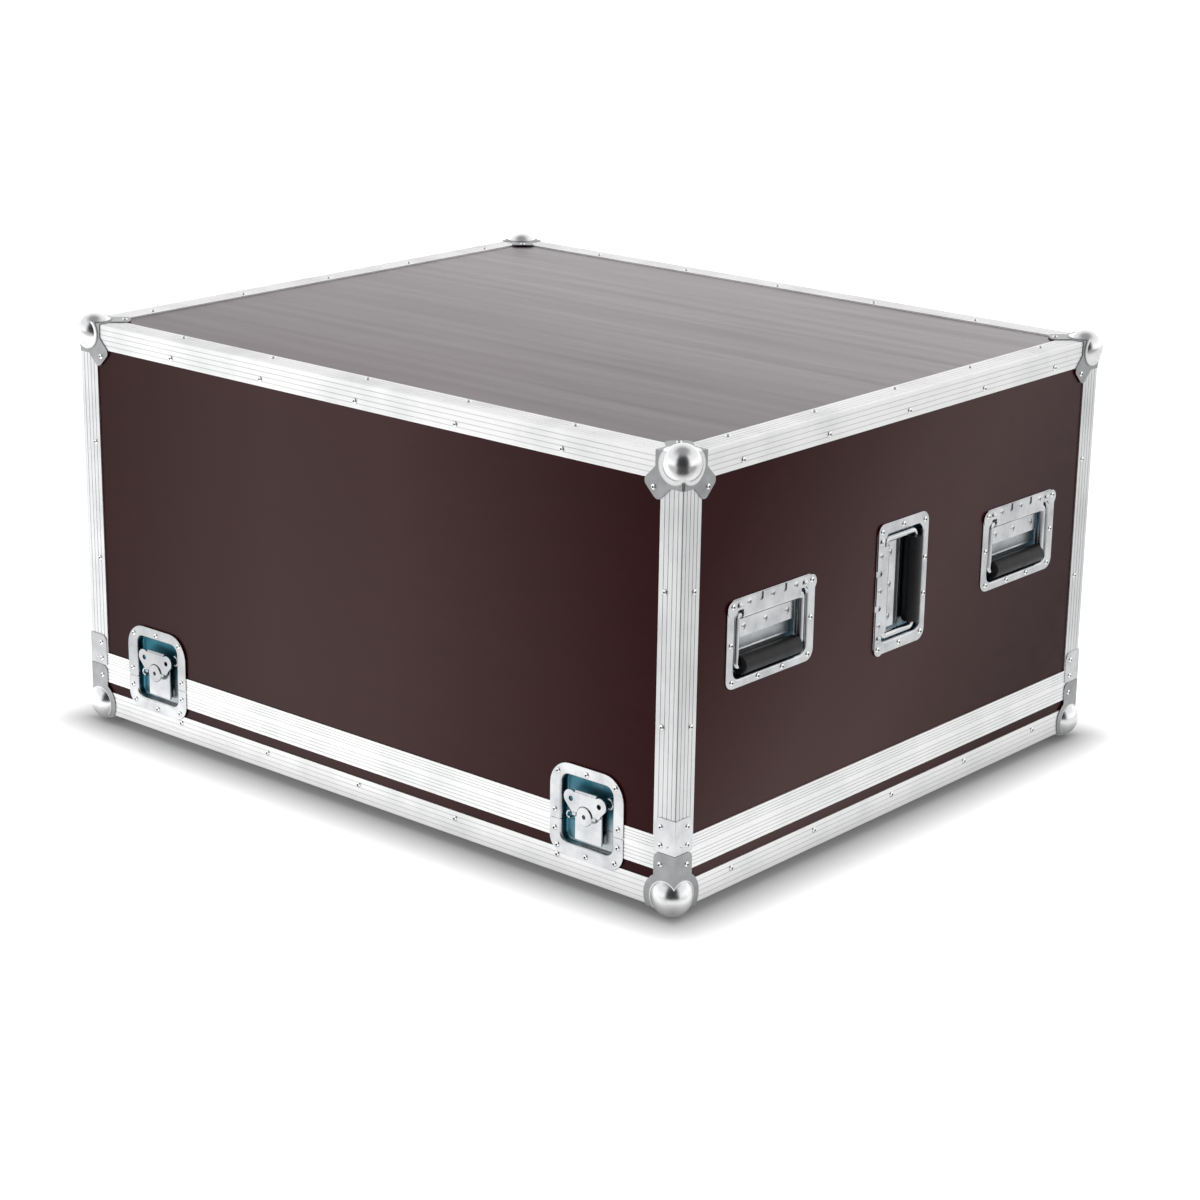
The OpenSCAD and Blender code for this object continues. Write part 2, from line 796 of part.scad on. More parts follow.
module handle_dish() {
    color(zinc_steel) difference() {
        union() {
            plate(-sheet_t, 0) rounded_box(
                [-handle_w / 2, -handle_h / 2], [handle_w / 2, handle_h / 2],
                handle_corner_r, handle_corner_r
            );
            plate(-sheet_t, well_depth + sheet_t) well_outline(sheet_t);
        }
        plate(-sheet_t - cut, well_depth) well_outline(0);
        plate(-sheet_t - cut, cut) strip_notches(0.4);
    }
}

// The notches in the strip, or with a share of their width, the slots behind them
module strip_notches(share) {
    wide = notch_w * share;
    for (s = [-1, 1]) translate([s * strip_dimple_pitch / 2 + (notch_w - wide) / 2, strip_top - notch_h]) {
        translate([0, wide / 2]) circle(wide / 2);
        translate([-wide / 2, wide / 2]) square([wide, notch_h]);
    }
}

module hinge_plate() {
    apron_face = bail_depth + hinge_bore_r;
    difference() {
        union() {
            plate(-strip_face, -sheet_t) difference() {
                rounded_box([-strip_reach, strip_z], [strip_reach, strip_top], 1, strip_r);
                strip_notches(1);
            }
            plate(-strip_face, -sheet_t) translate([-grip_reach, hinge_rise])
                square([2 * grip_reach, strip_z + hinge_t - hinge_rise]);
            translate([0, bail_depth, hinge_rise]) bar_x(-grip_reach, grip_reach, hinge_roll_r);
            plate(apron_face, apron_face + hinge_t) translate([-grip_reach, apron_bottom])
                square([2 * grip_reach, hinge_rise - apron_bottom]);
            for (k = [-1:1]) {
                on_front(k * strip_dimple_pitch, -strip_face, strip_z + strip_h / 2)
                    dome(dimple_r, dimple_h, 0);
                on_front(k * apron_dimple_pitch, apron_face, apron_z)
                    dome(dimple_r, dimple_h, 0);
            }
            for (s = [-1, 1])
                on_front(s * leg_x, -strip_face, strip_z + knob_r) dome(knob_r, knob_h, 0);
        }
        translate([0, bail_depth, hinge_rise]) bar_x(-far, far, hinge_bore_r);
    }
}

module handle_hinge_plates() {
    color(zinc_steel) for (i = [0:5]) at_handle(i) hinge_plate();
}

// A quarter bend of the bail's wire about its own centre, from +X to +Z
module bend() {
    rotate([90, 0, 0]) rotate_extrude(angle = 90) translate([bail_bend, 0]) circle(bail_r);
}

module handle_bail() {
    bend_x = leg_x - bail_bend;
    leg_len = hinge_rise + grip_drop - 2 * bail_bend;
    color(zinc_steel) translate([0, bail_depth, 0]) {
        for (s = [0, 1]) mirror([s, 0, 0]) {
            translate([leg_x, 0, bail_bend - grip_drop]) cylinder(r = bail_r, h = leg_len);
            translate([bend_x, 0, hinge_rise - bail_bend]) bend();
            translate([bend_x, 0, bail_bend - grip_drop]) mirror([0, 0, 1]) bend();
            translate([0, 0, hinge_rise]) bar_x(bend_x - axle_len, bend_x, bail_r);
        }
        translate([0, 0, -grip_drop]) bar_x(-bend_x, bend_x, bail_r);
    }
}

module handle_grip() {
    inner = bail_r + bore_gap;
    wall = grip_r - inner;
    long = 2 * grip_reach;
    color(black_rubber) translate([-grip_reach, bail_depth, -grip_drop]) rotate([0, 90, 0]) rotate_extrude()
        translate([inner, 0]) {
            square([wall - grip_edge, long]);
            translate([0, grip_edge]) square([wall, long - 2 * grip_edge]);
            for (z = [grip_edge, long - grip_edge]) translate([wall - grip_edge, z]) circle(grip_edge);
        }
}

// Rivets

// Along the four sides, on the face that looks outwards
module edge_row(z) {
    last = (edge_rivets - 1) / 2;
    for (side = [0:3], k = [-last:last]) rotate([0, 0, 90 * side])
        on_front(k * pitch(side), -reach(side), z) rivet();
}

// Along the four sides, on the top, or on the underside with turn = 180
module flat_row(z, turn) {
    last = (edge_rivets - 1) / 2;
    for (side = [0:3], k = [-last:last]) rotate([0, 0, 90 * side])
        translate([k * pitch(side), rivet_inset - reach(side), z]) rotate([turn, 0, 0]) rivet();
}

// One rivet on each of the two faces at a corner
module pair_at(across, out, z) {
    for (swap = [0, 1]) mirror([swap, -swap, 0]) on_front(across, -out, z) children();
}

module leaf_rivet(face) {
    rotate(120 * face, [1, 1, 1]) on_front(leaf_reach, -sheet_t, leaf_reach) rivet();
}

// The rivets round a handle: two through the hinge plate's strip, six on the flange
module handle_rivets() {
    side = handle_w / 2 - side_rivet_inset;
    foot = -handle_h / 2;
    for (s = [-1, 1]) {
        on_front(s * (side - 1), -strip_face, strip_top - side_rivet_inset + 1) rivet();
        on_front(s * side, -sheet_t, 0) rivet();
        on_front(s * (handle_w / 2 - corner_rivet_inset - 2), -sheet_t, foot + corner_rivet_inset) rivet();
        on_front(s * lower_rivet_pitch / 2, -sheet_t, foot + lower_rivet_inset) rivet();
    }
}

module tray_rivets() {
    color(bright_aluminium) {
        edge_row(base_z + rivet_inset);
        flat_row(base_z, 180);
        at_corners(split_z) pair_at(brace_rivet_inset, sheet_t, -base_rivet_drop) rivet();
        at_corners(base_z) leaf_rivet(1);
        for (i = [0:3]) at_latch(i) for (p = lower_rivets) on_front(p.x, -sheet_t, p.y) rivet();
    }
}

module hood_rivets() {
    color(bright_aluminium) {
        edge_row(top_z - rivet_inset);
        flat_row(top_z, 0);
        for (k = [1, 2]) at_corners(top_z - k * rivet_pitch_h) pair_at(rivet_inset, 0, 0) rivet();
        at_corners(top_z) mirror([0, 0, 1]) for (face = [0:2]) leaf_rivet(face);
        at_corners(split_z) {
            for (k = [0, 1])
                pair_at(brace_rivet_inset, sheet_t, brace_rivet_rise + k * brace_rivet_pitch) rivet();
            pair_at(screw_inset, sheet_t, brace_rivet_rise) dome(screw_r, screw_r / 2, 0);
        }
        for (i = [0:3]) at_latch(i) for (p = upper_rivets) on_front(p.x, -sheet_t, p.y) rivet();
        for (i = [0:5]) at_handle(i) handle_rivets();
    }
}

base_panel();
tray_long_wall(-1);  // tray_wall_front
tray_long_wall(1);  // tray_wall_back
tray_short_wall(-1);  // tray_wall_left
tray_short_wall(1);  // tray_wall_right
base_angles();
tray_rails();
base_ball_corners();
latch_keepers();
tray_rivets();
top_panel();
hood_long_wall(-1);  // hood_wall_front
hood_long_wall(1);  // hood_wall_back
hood_short_wall(-1);  // hood_wall_left
hood_short_wall(1);  // hood_wall_right
top_angles();
corner_angles();
hood_rails();
top_ball_corners();
hood_corner_braces();
latch_dishes();
latch_staples();
handle_hinge_plates();
hood_rivets();
for (i = [0:5]) at_handle(i) {
    handle_dish();
    handle_bail();
    handle_grip();
}
for (i = [0:3]) at_latch(i) {
    latch_hub();
    latch_wing();
    latch_hook();
}
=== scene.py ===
"""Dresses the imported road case: rounded pressings, bright ball corners, rivets, finishes and a studio."""

import json
import math
from collections import namedtuple

import bmesh
import bpy
from bpy.props import FloatProperty, FloatVectorProperty, IntProperty, PointerProperty
from mathutils import Matrix, Vector


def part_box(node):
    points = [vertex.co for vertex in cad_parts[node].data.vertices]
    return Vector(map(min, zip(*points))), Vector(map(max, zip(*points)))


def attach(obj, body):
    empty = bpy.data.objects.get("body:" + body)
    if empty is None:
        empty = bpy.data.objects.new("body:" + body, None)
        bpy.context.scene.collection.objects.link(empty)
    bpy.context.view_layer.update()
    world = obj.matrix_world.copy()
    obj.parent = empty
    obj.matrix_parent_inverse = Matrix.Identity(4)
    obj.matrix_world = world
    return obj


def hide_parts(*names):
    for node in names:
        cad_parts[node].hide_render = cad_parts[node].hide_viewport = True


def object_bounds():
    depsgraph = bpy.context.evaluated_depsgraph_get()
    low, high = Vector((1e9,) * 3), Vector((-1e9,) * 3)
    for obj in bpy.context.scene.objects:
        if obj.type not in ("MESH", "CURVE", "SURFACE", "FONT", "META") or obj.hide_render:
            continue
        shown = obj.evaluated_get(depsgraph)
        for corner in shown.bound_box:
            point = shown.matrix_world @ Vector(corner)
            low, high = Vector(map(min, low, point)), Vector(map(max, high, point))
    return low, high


bl_info = {
    "name": "Road case dresser",
    "version": (1, 0, 0),
    "blender": (4, 5, 0),
    "location": "3D View > Sidebar > Road case",
    "description": "Gives the packed road case its rounded pressings, rivets, finishes and studio",
    "category": "Object",
}

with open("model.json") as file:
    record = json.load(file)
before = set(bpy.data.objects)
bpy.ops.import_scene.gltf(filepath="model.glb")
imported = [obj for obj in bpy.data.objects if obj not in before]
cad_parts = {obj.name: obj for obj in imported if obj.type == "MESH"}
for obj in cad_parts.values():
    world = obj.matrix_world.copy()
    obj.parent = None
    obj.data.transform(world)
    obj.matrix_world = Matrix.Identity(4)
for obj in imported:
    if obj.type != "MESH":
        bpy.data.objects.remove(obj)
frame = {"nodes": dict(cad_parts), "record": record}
cad_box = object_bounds()
nodes = frame["nodes"]
bodies = frame["record"]["behaviour"]["bodies"]
node_body = {node: body for body, members in bodies.items() for node in members}

MM = 0.001
SAME_POINT = 0.001 * MM
SAME_FACE = 0.02 * MM
SEAT = 0.02 * MM
ARRIS_LEAST = 100 * MM

# Places on the case, from the CAD nodes

EDGING_LOW, EDGING_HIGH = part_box("base_angles")
HALF_W, HALF_D = EDGING_HIGH.x, EDGING_HIGH.y
BASE_Z = EDGING_LOW.z
SPLIT_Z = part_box("hood_rails")[0].z
TOP_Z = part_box("top_angles")[1].z
MID_Z = (BASE_Z + TOP_Z) / 2
PANEL_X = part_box("hood_wall_right")[1].x
LATCH_X = sum(corner.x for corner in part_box("latch_hub_front_right")) / 2
LATCHES = ["front_left", "front_right", "back_left", "back_right"]
HANDLES = [f"{side}_{place}" for side in ("right", "left") for place in ("front", "middle", "rear")]

# Sizes that the pressings share with the CAD, in each dish's own frame. A recess is its low and high corner
# and the radii of its lower and upper corners, and corners are those two radii of a flange.

HUB_RISE = 13 * MM
STEM_HOLE = 4.05 * MM
SPLIT_GAP = 0.55 * MM
LATCH_FLOOR = 9.3 * MM
LATCH_CORNERS = (20 * MM, 28 * MM)
LATCH_RECESS = ((-36.5 * MM, -24.5 * MM), (36.5 * MM, 54 * MM), 10 * MM, 10 * MM)
LATCH_HOLES = {
    "hub": [(0, HUB_RISE, 2.2 * MM, 0.4 * MM)],
    "wing": [(side * 20 * MM, HUB_RISE + 16.5 * MM, 2.4 * MM, 0.7 * MM) for side in (-1, 1)],
}
LIP_SIZE = (38 * MM, 1.9 * MM, 10 * MM)
LIP_PLACE = (0, 8.85 * MM, -11.6 * MM)
LIP_BREAK = 0.4 * MM
HANDLE_FLOOR = 14.5 * MM
HANDLE_CORNERS = (13 * MM, 13 * MM)
HANDLE_RECESS = ((-63 * MM, -40 * MM), (63 * MM, 36 * MM), 9 * MM, 9 * MM)
DIMPLES = [(41 * MM, 43 * MM), (38 * MM, 13.4 * MM)]
DIMPLE_TOP = 1.9 * MM
BEAD_PLACE, BEAD_STEP, BEAD_RISE, BEAD_FADE = -16 * MM, 0.8 * MM, 0.8 * MM, 4 * MM
BEND_STEPS = 4
BALL_WALL = 1.5 * MM
CAD_BALL_WALL = 2 * MM

# How dark the painted shade in holes and the painted dark reflection on dimple tops are, the angles that
# count as flat and sharp, and the lines along the bars: how many to the metre, their detail and how far
# they are drawn out

HOLE_DARK, DIMPLE_DARK = 0.9, 0.6
FLAT, SHARP = math.radians(0.6), math.radians(40)
BAR_LINES = ((1150, 2, 0.006), (130, 3, 0.02))

# The level direction from the case to the viewer

FRONT_X, FRONT_Y = 0.653, -0.757

# The floor, the lamp over the case and the camera's sensor

FLOOR_RADIUS = 14
FLOOR_DROP = 0.3 * MM
LAMP_SIZE = (2.6, 2.2)
LAMP_PLACE = (-0.3, 0.2, 2.6)
SENSOR = 36

# A dish's recess: the axis that it goes in along, the places of its flange and floor, how pale its floor is
# with less painted shade, the painted blue-green shade on its walls, and whether that shade dies away
# towards the foot

Recess = namedtuple("Recess", "axis flange floor pale tint fades")


# Sizes and colours


def length(name, description, millimetres):
    return FloatProperty(
        name=name, description=description, default=millimetres * MM, min=0, unit="LENGTH", precision=5
    )


def colour(name, description, rgb):
    return FloatVectorProperty(
        name=name, description=description, default=rgb, size=3, min=0, max=1, subtype="COLOR"
    )


def bearing(name, description, degrees):
    return FloatProperty(
        name=name, description=description, default=math.radians(degrees), subtype="ANGLE"
    )


def amount(name, description, default, least=0):
    return FloatProperty(name=name, description=description, default=default, min=least)


class CaseFinishes(bpy.types.PropertyGroup):
    film: colour("Film", "Phenolic film on the plywood", (0.0315, 0.0051, 0.0059))
    # The paler film serves the rubs and cloud, and also the painted sheen in a panel's middle
    film_pale_and_sheen: colour("Film, paler", "Where the film is rubbed or cloudy", (0.0620, 0.0085, 0.0098))
    # The top's cooler film is painted: it stands in for the tint of the top's sheen
    film_top_sheen: colour("Film, top", "Cooler film on the top panel", (0.050, 0.040, 0.064))
    aluminium: colour("Aluminium", "Edging and closing rails", (0.86, 0.86, 0.86))
    # Also the colour of the uprights all over, as painted shade
    aluminium_dull_and_shade: colour("Aluminium, dull", "Handled patches of the edging", (0.73, 0.735, 0.74))
    # The uprights' rubbed patches, darker still for the painted shade on the uprights
    aluminium_worn_and_shade: colour("Aluminium, worn", "Rubbed patches of the uprights", (0.60, 0.605, 0.61))
    groove_shade: colour("Groove", "Shade in the grooves of the edging", (0.30, 0.305, 0.31))
    # A painted dark reflection along the uprights' arrises
    arris: colour("Arris", "Dark line on the arrises of the uprights", (0.13, 0.132, 0.135))
    zinc: colour("Zinc plate", "Latch and handle pressings", (0.64, 0.65, 0.66))
    zinc_dull: colour("Zinc plate, dull", "Clouded zinc plate", (0.48, 0.492, 0.508))
    # Painted shade on the upper parts of the fittings on the left
    zinc_left_shade: colour("Zinc plate, grey", "Aged zinc plate of the left fittings", (0.27, 0.275, 0.285))
    # Painted blue-green shade on the walls of the latches' recesses
    latch_recess_shade: colour("Latch recess", "Green-blue passivation inside the latches", (0.022, 0.165, 0.225))
    # Painted blue shade on the walls of the handle dishes
    handle_recess_shade: colour("Handle recess", "Blue passivation in the handle dishes", (0.06, 0.34, 0.50))
    ball_steel: colour("Ball steel", "Polished ball corners", (0.77, 0.77, 0.775))
    leaf_steel: colour("Leaf steel", "Leaves of the ball corners", (0.28, 0.285, 0.29))
    # Painted shade in the latches' holes and a painted dark reflection on the dimple tops
    pit: colour("Pit", "Holes in the latches and tops of the dimples", (0.02, 0.021, 0.023))
    rivet: colour("Rivet", "Rivet heads", (0.85, 0.85, 0.85))
    # Painted shade in the hollow of a rivet's head
    rivet_pit: colour("Rivet pit", "Hollow in a rivet's head", (0.006, 0.006, 0.007))
    rubber: colour("Rubber", "Handle grips", (0.0085, 0.0080, 0.0080))
    rubber_bloom: colour("Rubber, dusty", "Bloom on the grips", (0.024, 0.023, 0.023))


class CasePressings(bpy.types.PropertyGroup):
    sheet: length("Sheet", "Thickness of the pressed steel", 1.2)
    draw_radius: length("Draw radius", "Rounding where a flange turns into its recess", 3.0)
    floor_radius: length("Floor radius", "Rounding at the bottom of a recess", 2.6)
    edge_round: length("Edge rounding", "Broken edge of the pressed sheet", 0.35)
    arris_round: length("Arris rounding", "Rounding of the edging's outer arris", 0.9)
    top_ball: length("Top ball", "Radius of the top ball corners", 21.5)
    top_inset: length("Top ball inset", "Distance of a top ball's centre from each face", 12)
    base_ball: length("Base ball", "Radius of the base ball corners", 23.5)
    base_inset: length("Base ball inset", "Distance of a base ball's centre from each face", 13)


class CaseRivets(bpy.types.PropertyGroup):
    head_radius: length("Head radius", "Radius of a rivet's head", 3.5)
    head_height: length("Head height", "Height of a rivet's head", 1.6)
    pit_radius: length("Pit radius", "Radius of the hollow that the mandrel leaves", 1.25)
    pit_depth: length("Pit depth", "Depth of that hollow", 1.0)
    sides: IntProperty(name="Sides", description="Sides of a rivet's head", default=12, min=6, max=24)


class CaseStage(bpy.types.PropertyGroup):
    camera_place: FloatVectorProperty(
        name="Camera place", description="Where the camera stands", default=(2.23094, -2.58675, 1.23645),
        size=3, subtype="TRANSLATION", unit="LENGTH",
    )
    azimuth: bearing("Azimuth", "Turn of the camera round the case", 40.465)
    elevation: bearing("Elevation", "Height of the camera over the horizon", 17.395)
    roll: bearing("Roll", "Lean of the camera", 0.895)
    lens: amount("Lens", "Focal length in millimetres", 86.03, 10)
    surround: amount("Surround", "Strength of the pale surround", 1.35)
    key: amount("Overhead light", "Power of the soft overhead light", 15)
    # How far the painted shadow round the case's footprint reaches
    shadow_reach: length("Shadow reach", "How far the shadow on the floor fades out from the case", 62)


# Node trees


class Num:
    """A number in a node tree. Python's operators on it add Math nodes."""

    def __init__(self, finish, socket):
        self.finish = finish
        self.socket = socket

    def __add__(self, other):
        return self.finish.math("ADD", self, other)

    def __sub__(self, other):
        return self.finish.math("SUBTRACT", self, other)

    def __rsub__(self, other):
        return self.finish.math("SUBTRACT", other, self)

    def __mul__(self, other):
        return self.finish.math("MULTIPLY", self, other)

    def __gt__(self, other):
        return self.finish.math("GREATER_THAN", self, other)

    def __abs__(self):
        return self.finish.math("ABSOLUTE", self)

    __radd__ = __add__
    __rmul__ = __mul__


class NodeSheet:
    """A node tree with a method that adds any node."""

    def __init__(self, tree):
        self.tree = tree
        self.tree.nodes.clear()

    def add(self, kind, settings=None, inputs=None):
        node = self.tree.nodes.new(kind)
        for name, value in (settings or {}).items():
            setattr(node, name, value)
        for name, value in (inputs or {}).items():
            self.put(node.inputs[name], value)
        return node

    def put(self, socket, value):
        if isinstance(value, Num):
            value = value.socket
        if isinstance(value, bpy.types.NodeSocket):
            self.tree.links.new(value, socket)
        elif isinstance(value, (tuple, list)) and socket.type == "RGBA" and len(value) == 3:
            socket.default_value = (*value, 1)
        else:
            socket.default_value = value

    def math(self, operation, *values):
        settings = {"operation": operation}
        node = self.add("ShaderNodeMath", settings, dict(enumerate(values)))
        return Num(self, node.outputs[0])


class Finish(NodeSheet):
    """The tree of a procedural material or of the surround."""

    def mix(self, factor, low, high):
        node = self.add("ShaderNodeMix", {"data_type": "RGBA"}, {0: factor, 6: low, 7: high})
        return node.outputs[2]

    def clamp(self, value, low, high):
        """0 at low, 1 at high, and straight in between."""
        inputs = {"Value": value, "From Min": low, "From Max": high}
        return Num(self, self.add("ShaderNodeMapRange", {"clamp": True}, inputs).outputs[0])

    def place(self):
        return self.add("ShaderNodeTexCoord").outputs["Object"]

    def axes(self):
        split = self.add("ShaderNodeSeparateXYZ", None, {0: self.place()})
        return [Num(self, split.outputs[i]) for i in range(3)]

    def noise(self, scale, detail, stretch=(1, 1, 1), shift=(0, 0, 0)):
        """Noise with that many features to the metre, stretched along an axis where stretch is below 1."""
        moves = {"Vector": self.place(), "Scale": stretch, "Location": shift}
        spot = self.add("ShaderNodeMapping", None, moves).outputs[0]
        inputs = {"Vector": spot, "Scale": scale, "Detail": detail, "Roughness": 0.55}
        return Num(self, self.add("ShaderNodeTexNoise", None, inputs).outputs["Fac"])

    def bump(self, height, depth, strength):
        inputs = {"Height": height, "Distance": depth, "Strength": strength}
        return self.add("ShaderNodeBump", None, inputs).outputs[0]

    def pit(self):
        """The mark of a hole, hollow or dimple top on the faces, where shade or a dark reflection is
        painted.
        """
        mark = self.add("ShaderNodeAttribute", {"attribute_name": "pit"})
        return Num(self, mark.outputs["Fac"])


def new_finish(name, **inputs):
    """A material with one Principled shader, ready for its own nodes."""
    material = bpy.data.materials.new(name)
    material.use_nodes = True
    finish = Finish(material.node_tree)
    finish.shader = finish.add("ShaderNodeBsdfPrincipled", None, inputs)
    finish.add("ShaderNodeOutputMaterial", None, {"Surface": finish.shader.outputs[0]})
    return finish


def set_look(finish, base, roughness, normal):
    for name, value in (("Base Color", base), ("Roughness", roughness), ("Normal", normal)):
        finish.put(finish.shader.inputs[name], value)


def film_finish(colours):
    """Dark phenolic film with drawn streaks and pale rubs, and a cooler colour on the top as painted sheen.

    A panel's middle, leaning back with height on the ends, takes a paler colour and a stronger coat:
    painted sheen.
    The coat also grows towards the back and right, which is painted sheen too.
    """
    finish = new_finish("phenolic_film", **{"Specular IOR Level": 0.045, "Coat Roughness": 0.24})
    x, y, z = finish.axes()
    on_end = abs(x) > PANEL_X - 2 * MM
    on_top = z > TOP_Z - 6 * MM
    # Painted sheen: a panel's middle, leaning back with height on the ends, gets a paler colour and a
    # stronger coat
    lean = on_end * (z - 0.36) * 2
    along, deep = x * (1 / HALF_W) + 0.1, y * (1 / HALF_D) - 0.15 - lean
    middle = 1 - finish.clamp(finish.math("MINIMUM", abs(along), abs(deep)), 0.2, 1.15)
    cloud = finish.noise(3.2, 4)
    streak = finish.noise(5.5, 3, (0.35, 9, 9))
    tooth = finish.noise(1500, 2)
    rub = finish.clamp(finish.noise(46, 6, (1, 1, 0.45)), 0.66, 0.78)
    tone = finish.clamp(cloud * 0.6 + streak * 0.4, 0.34, 0.66)
    pale = tone * 0.3 + rub * 0.2 + middle * 0.55
    base = finish.mix(pale, tuple(colours.film), tuple(colours.film_pale_and_sheen))
    # Painted sheen: the top panel takes a cooler colour for the tint of its sheen
    base = finish.mix(on_top * 0.45, base, tuple(colours.film_top_sheen))
    roughness = 0.235 + cloud * 0.10 + streak * 0.09 + rub * 0.08
    graze = finish.clamp(finish.add("ShaderNodeLayerWeight").outputs["Facing"], 0.45, 0.72)
    # Painted sheen: the coat grows towards the back and right and in a panel's middle
    sheen = graze * (0.2 + streak * 0.58) * (1 + y * 0.8 + x * 0.2) + (1 - graze) * middle * 0.38
    finish.put(finish.shader.inputs["Coat Weight"], sheen)
    set_look(finish, base, roughness, finish.bump(tooth + streak * 0.5, 0.05 * MM, 0.35))


def brushed(finish, run):
    """Fine and broad lines along the bars: run is "ring" for bars round the case, or "upright"."""
    if run == "upright":
        return [finish.noise(scale, detail, (1, 1, drawn)) for scale, detail, drawn in BAR_LINES]
    x, y, _ = finish.axes()
    on_side = (abs(x) - HALF_W) > (abs(y) - HALF_D)
    lines = []
    for scale, detail, drawn in BAR_LINES:
        along_x = finish.noise(scale, detail, (drawn, 1, 1))
        along_y = finish.noise(scale, detail, (1, drawn, 1))
        lines.append(along_x * (1 - on_side) + along_y * on_side)
    return lines


def grooved(finish):
    """1 in the grooves of the angles, which lie just under the outer faces of the case, where shade is
    painted.
    """
    x, y, z = finish.axes()
    depths = [HALF_W - abs(x), HALF_D - abs(y), (TOP_Z - BASE_Z) / 2 - abs(z - MID_Z)]
    grooves = []
    for i, depth in enumerate(depths):
        sunk, past = finish.clamp(depth, 0.06 * MM, 0.2 * MM), finish.clamp(depth, 0.6 * MM, 0.9 * MM)
        groove_shade = sunk * (1 - past)
        for other in depths[:i] + depths[i + 1:]:
            groove_shade = groove_shade * finish.clamp(other, 1.5 * MM, 2 * MM)
        grooves.append(groove_shade)
    return sum(grooves)


def aluminium_finish(colours, run):
    """Extruded aluminium: lines along each bar, handled patches, dark nicks; painted shade in grooves and
    on uprights, and a painted dark reflection on the uprights' arrises.
    """
    finish = new_finish(f"{run}_aluminium", Metallic=1.0)
    fine, broad = brushed(finish, run)
    patch = finish.clamp(finish.noise(14, 5), 0.42, 0.70)
    nick = finish.clamp(finish.noise(240, 3, shift=(3, 1, 7)), 0.70, 0.74)
    dull = finish.clamp(patch * 0.45 + broad * 0.5 + nick * 0.6, 0.25, 1.0)
    bright, worn = tuple(colours.aluminium), tuple(colours.aluminium_dull_and_shade)
    # The uprights take the duller colours all over: painted shade on the uprights
    if run == "upright":
        bright, worn = worn, tuple(colours.aluminium_worn_and_shade)
    base = finish.mix(dull, bright, worn)
    # Painted shade in the grooves
    base = finish.mix(grooved(finish) * 0.42, base, tuple(colours.groove_shade))
    if run == "upright":
        # A painted dark reflection along the arrises of the uprights
        x, y, _ = finish.axes()
        from_arris = finish.math("MAXIMUM", HALF_W - abs(x), HALF_D - abs(y))
        line = 1 - finish.clamp(from_arris, 0.4 * MM, 1.4 * MM)
        base = finish.mix(line * 0.62, base, tuple(colours.arris))
    roughness = 0.48 + patch * 0.08 + (fine - 0.5) * 0.16
    set_look(finish, base, roughness, finish.bump(fine, 0.03 * MM, 0.5))


def zinc_finish(name, colours, roughness, recess=None, painted_left_shade=0):
    """Bright zinc plate: clouded and finely drawn, with painted shade in holes, a painted dark reflection
    on dimple tops, painted shade on the upper left fittings, and painted blue-green shade in a recess.
    """
    finish = new_finish(name, Metallic=1.0)
    cloud = finish.noise(38, 4)
    grain = finish.noise(620, 3)
    base = finish.mix(finish.clamp(cloud, 0.38, 0.68), tuple(colours.zinc), tuple(colours.zinc_dull))
    # Painted shade on the fittings on the left, above the split
    if painted_left_shade:
        x, _, z = finish.axes()
        grey = finish.clamp(x * -1, 0.2, 0.33) * finish.clamp(z, SPLIT_Z - 20 * MM, SPLIT_Z + 20 * MM)
        base = finish.mix(grey * painted_left_shade, base, tuple(colours.zinc_left_shade))
    # Painted blue-green shade on the recess walls; the floor is spared by how pale it is, and on the
    # latches the shade dies away towards the lit foot, where the wall is also made less metallic
    if recess:
        x, _, z = axes = finish.axes()
        depth = recess.flange - abs(axes[recess.axis])
        bottom = finish.clamp(depth, recess.floor - 2.2 * MM, recess.floor - 0.6 * MM)
        wall = finish.clamp(depth, 1.6 * MM, 3.8 * MM) * (1 - bottom * recess.pale)
        if recess.fades:
            beside = x - LATCH_X * ((x > 0) * 2 - 1)
            fade = finish.clamp(SPLIT_Z - z + beside * 0.6, 0, 26 * MM)
            finish.put(finish.shader.inputs["Metallic"], 1 - wall * fade * (1 - bottom) * 0.7)
            wall = wall * (1 - fade * 0.85)
        base = finish.mix(wall * (0.8 + cloud * 0.4), base, tuple(recess.tint))
        roughness = roughness + bottom * 0.16
    # Painted shade in holes and a painted dark reflection on dimple tops
    pit = finish.pit()
    base = finish.mix(pit, base, tuple(colours.pit))
    wear = roughness + (cloud - 0.5) * 0.12 + (grain - 0.5) * 0.06 + pit * 0.3
    set_look(finish, base, wear, finish.bump(grain, 0.04 * MM, 0.12))


def ball_finish(colours, sizes):
    """Polished balls with a faint buffed grain, on duller leaves."""
    finish = new_finish("polished_steel", Metallic=1.0)
    x, y, z = finish.axes()
    inset = (sizes.top_inset + sizes.base_inset) / 2
    high = (TOP_Z - BASE_Z) / 2 - inset
    offsets = (abs(x) - (HALF_W - inset), abs(y) - (HALF_D - inset), abs(z - MID_Z) - high)
    reach = finish.math("SQRT", sum(offset * offset for offset in offsets))
    leaf = finish.clamp(reach, sizes.base_ball + 0.4 * MM, sizes.base_ball + 1.4 * MM)
    buff = finish.noise(420, 3, (1, 1, 0.2))
    smear = finish.noise(60, 3)
    tone = finish.clamp(smear, 0.45, 0.75) * 0.35
    base = finish.mix(tone, tuple(colours.ball_steel), tuple(colours.zinc_dull))
    base = finish.mix(leaf * (0.7 + smear * 0.4), base, tuple(colours.leaf_steel))
    roughness = 0.24 + (smear - 0.5) * 0.10 + (buff - 0.5) * 0.08 + leaf * 0.17
    set_look(finish, base, roughness, finish.bump(buff, 0.02 * MM, 0.4))


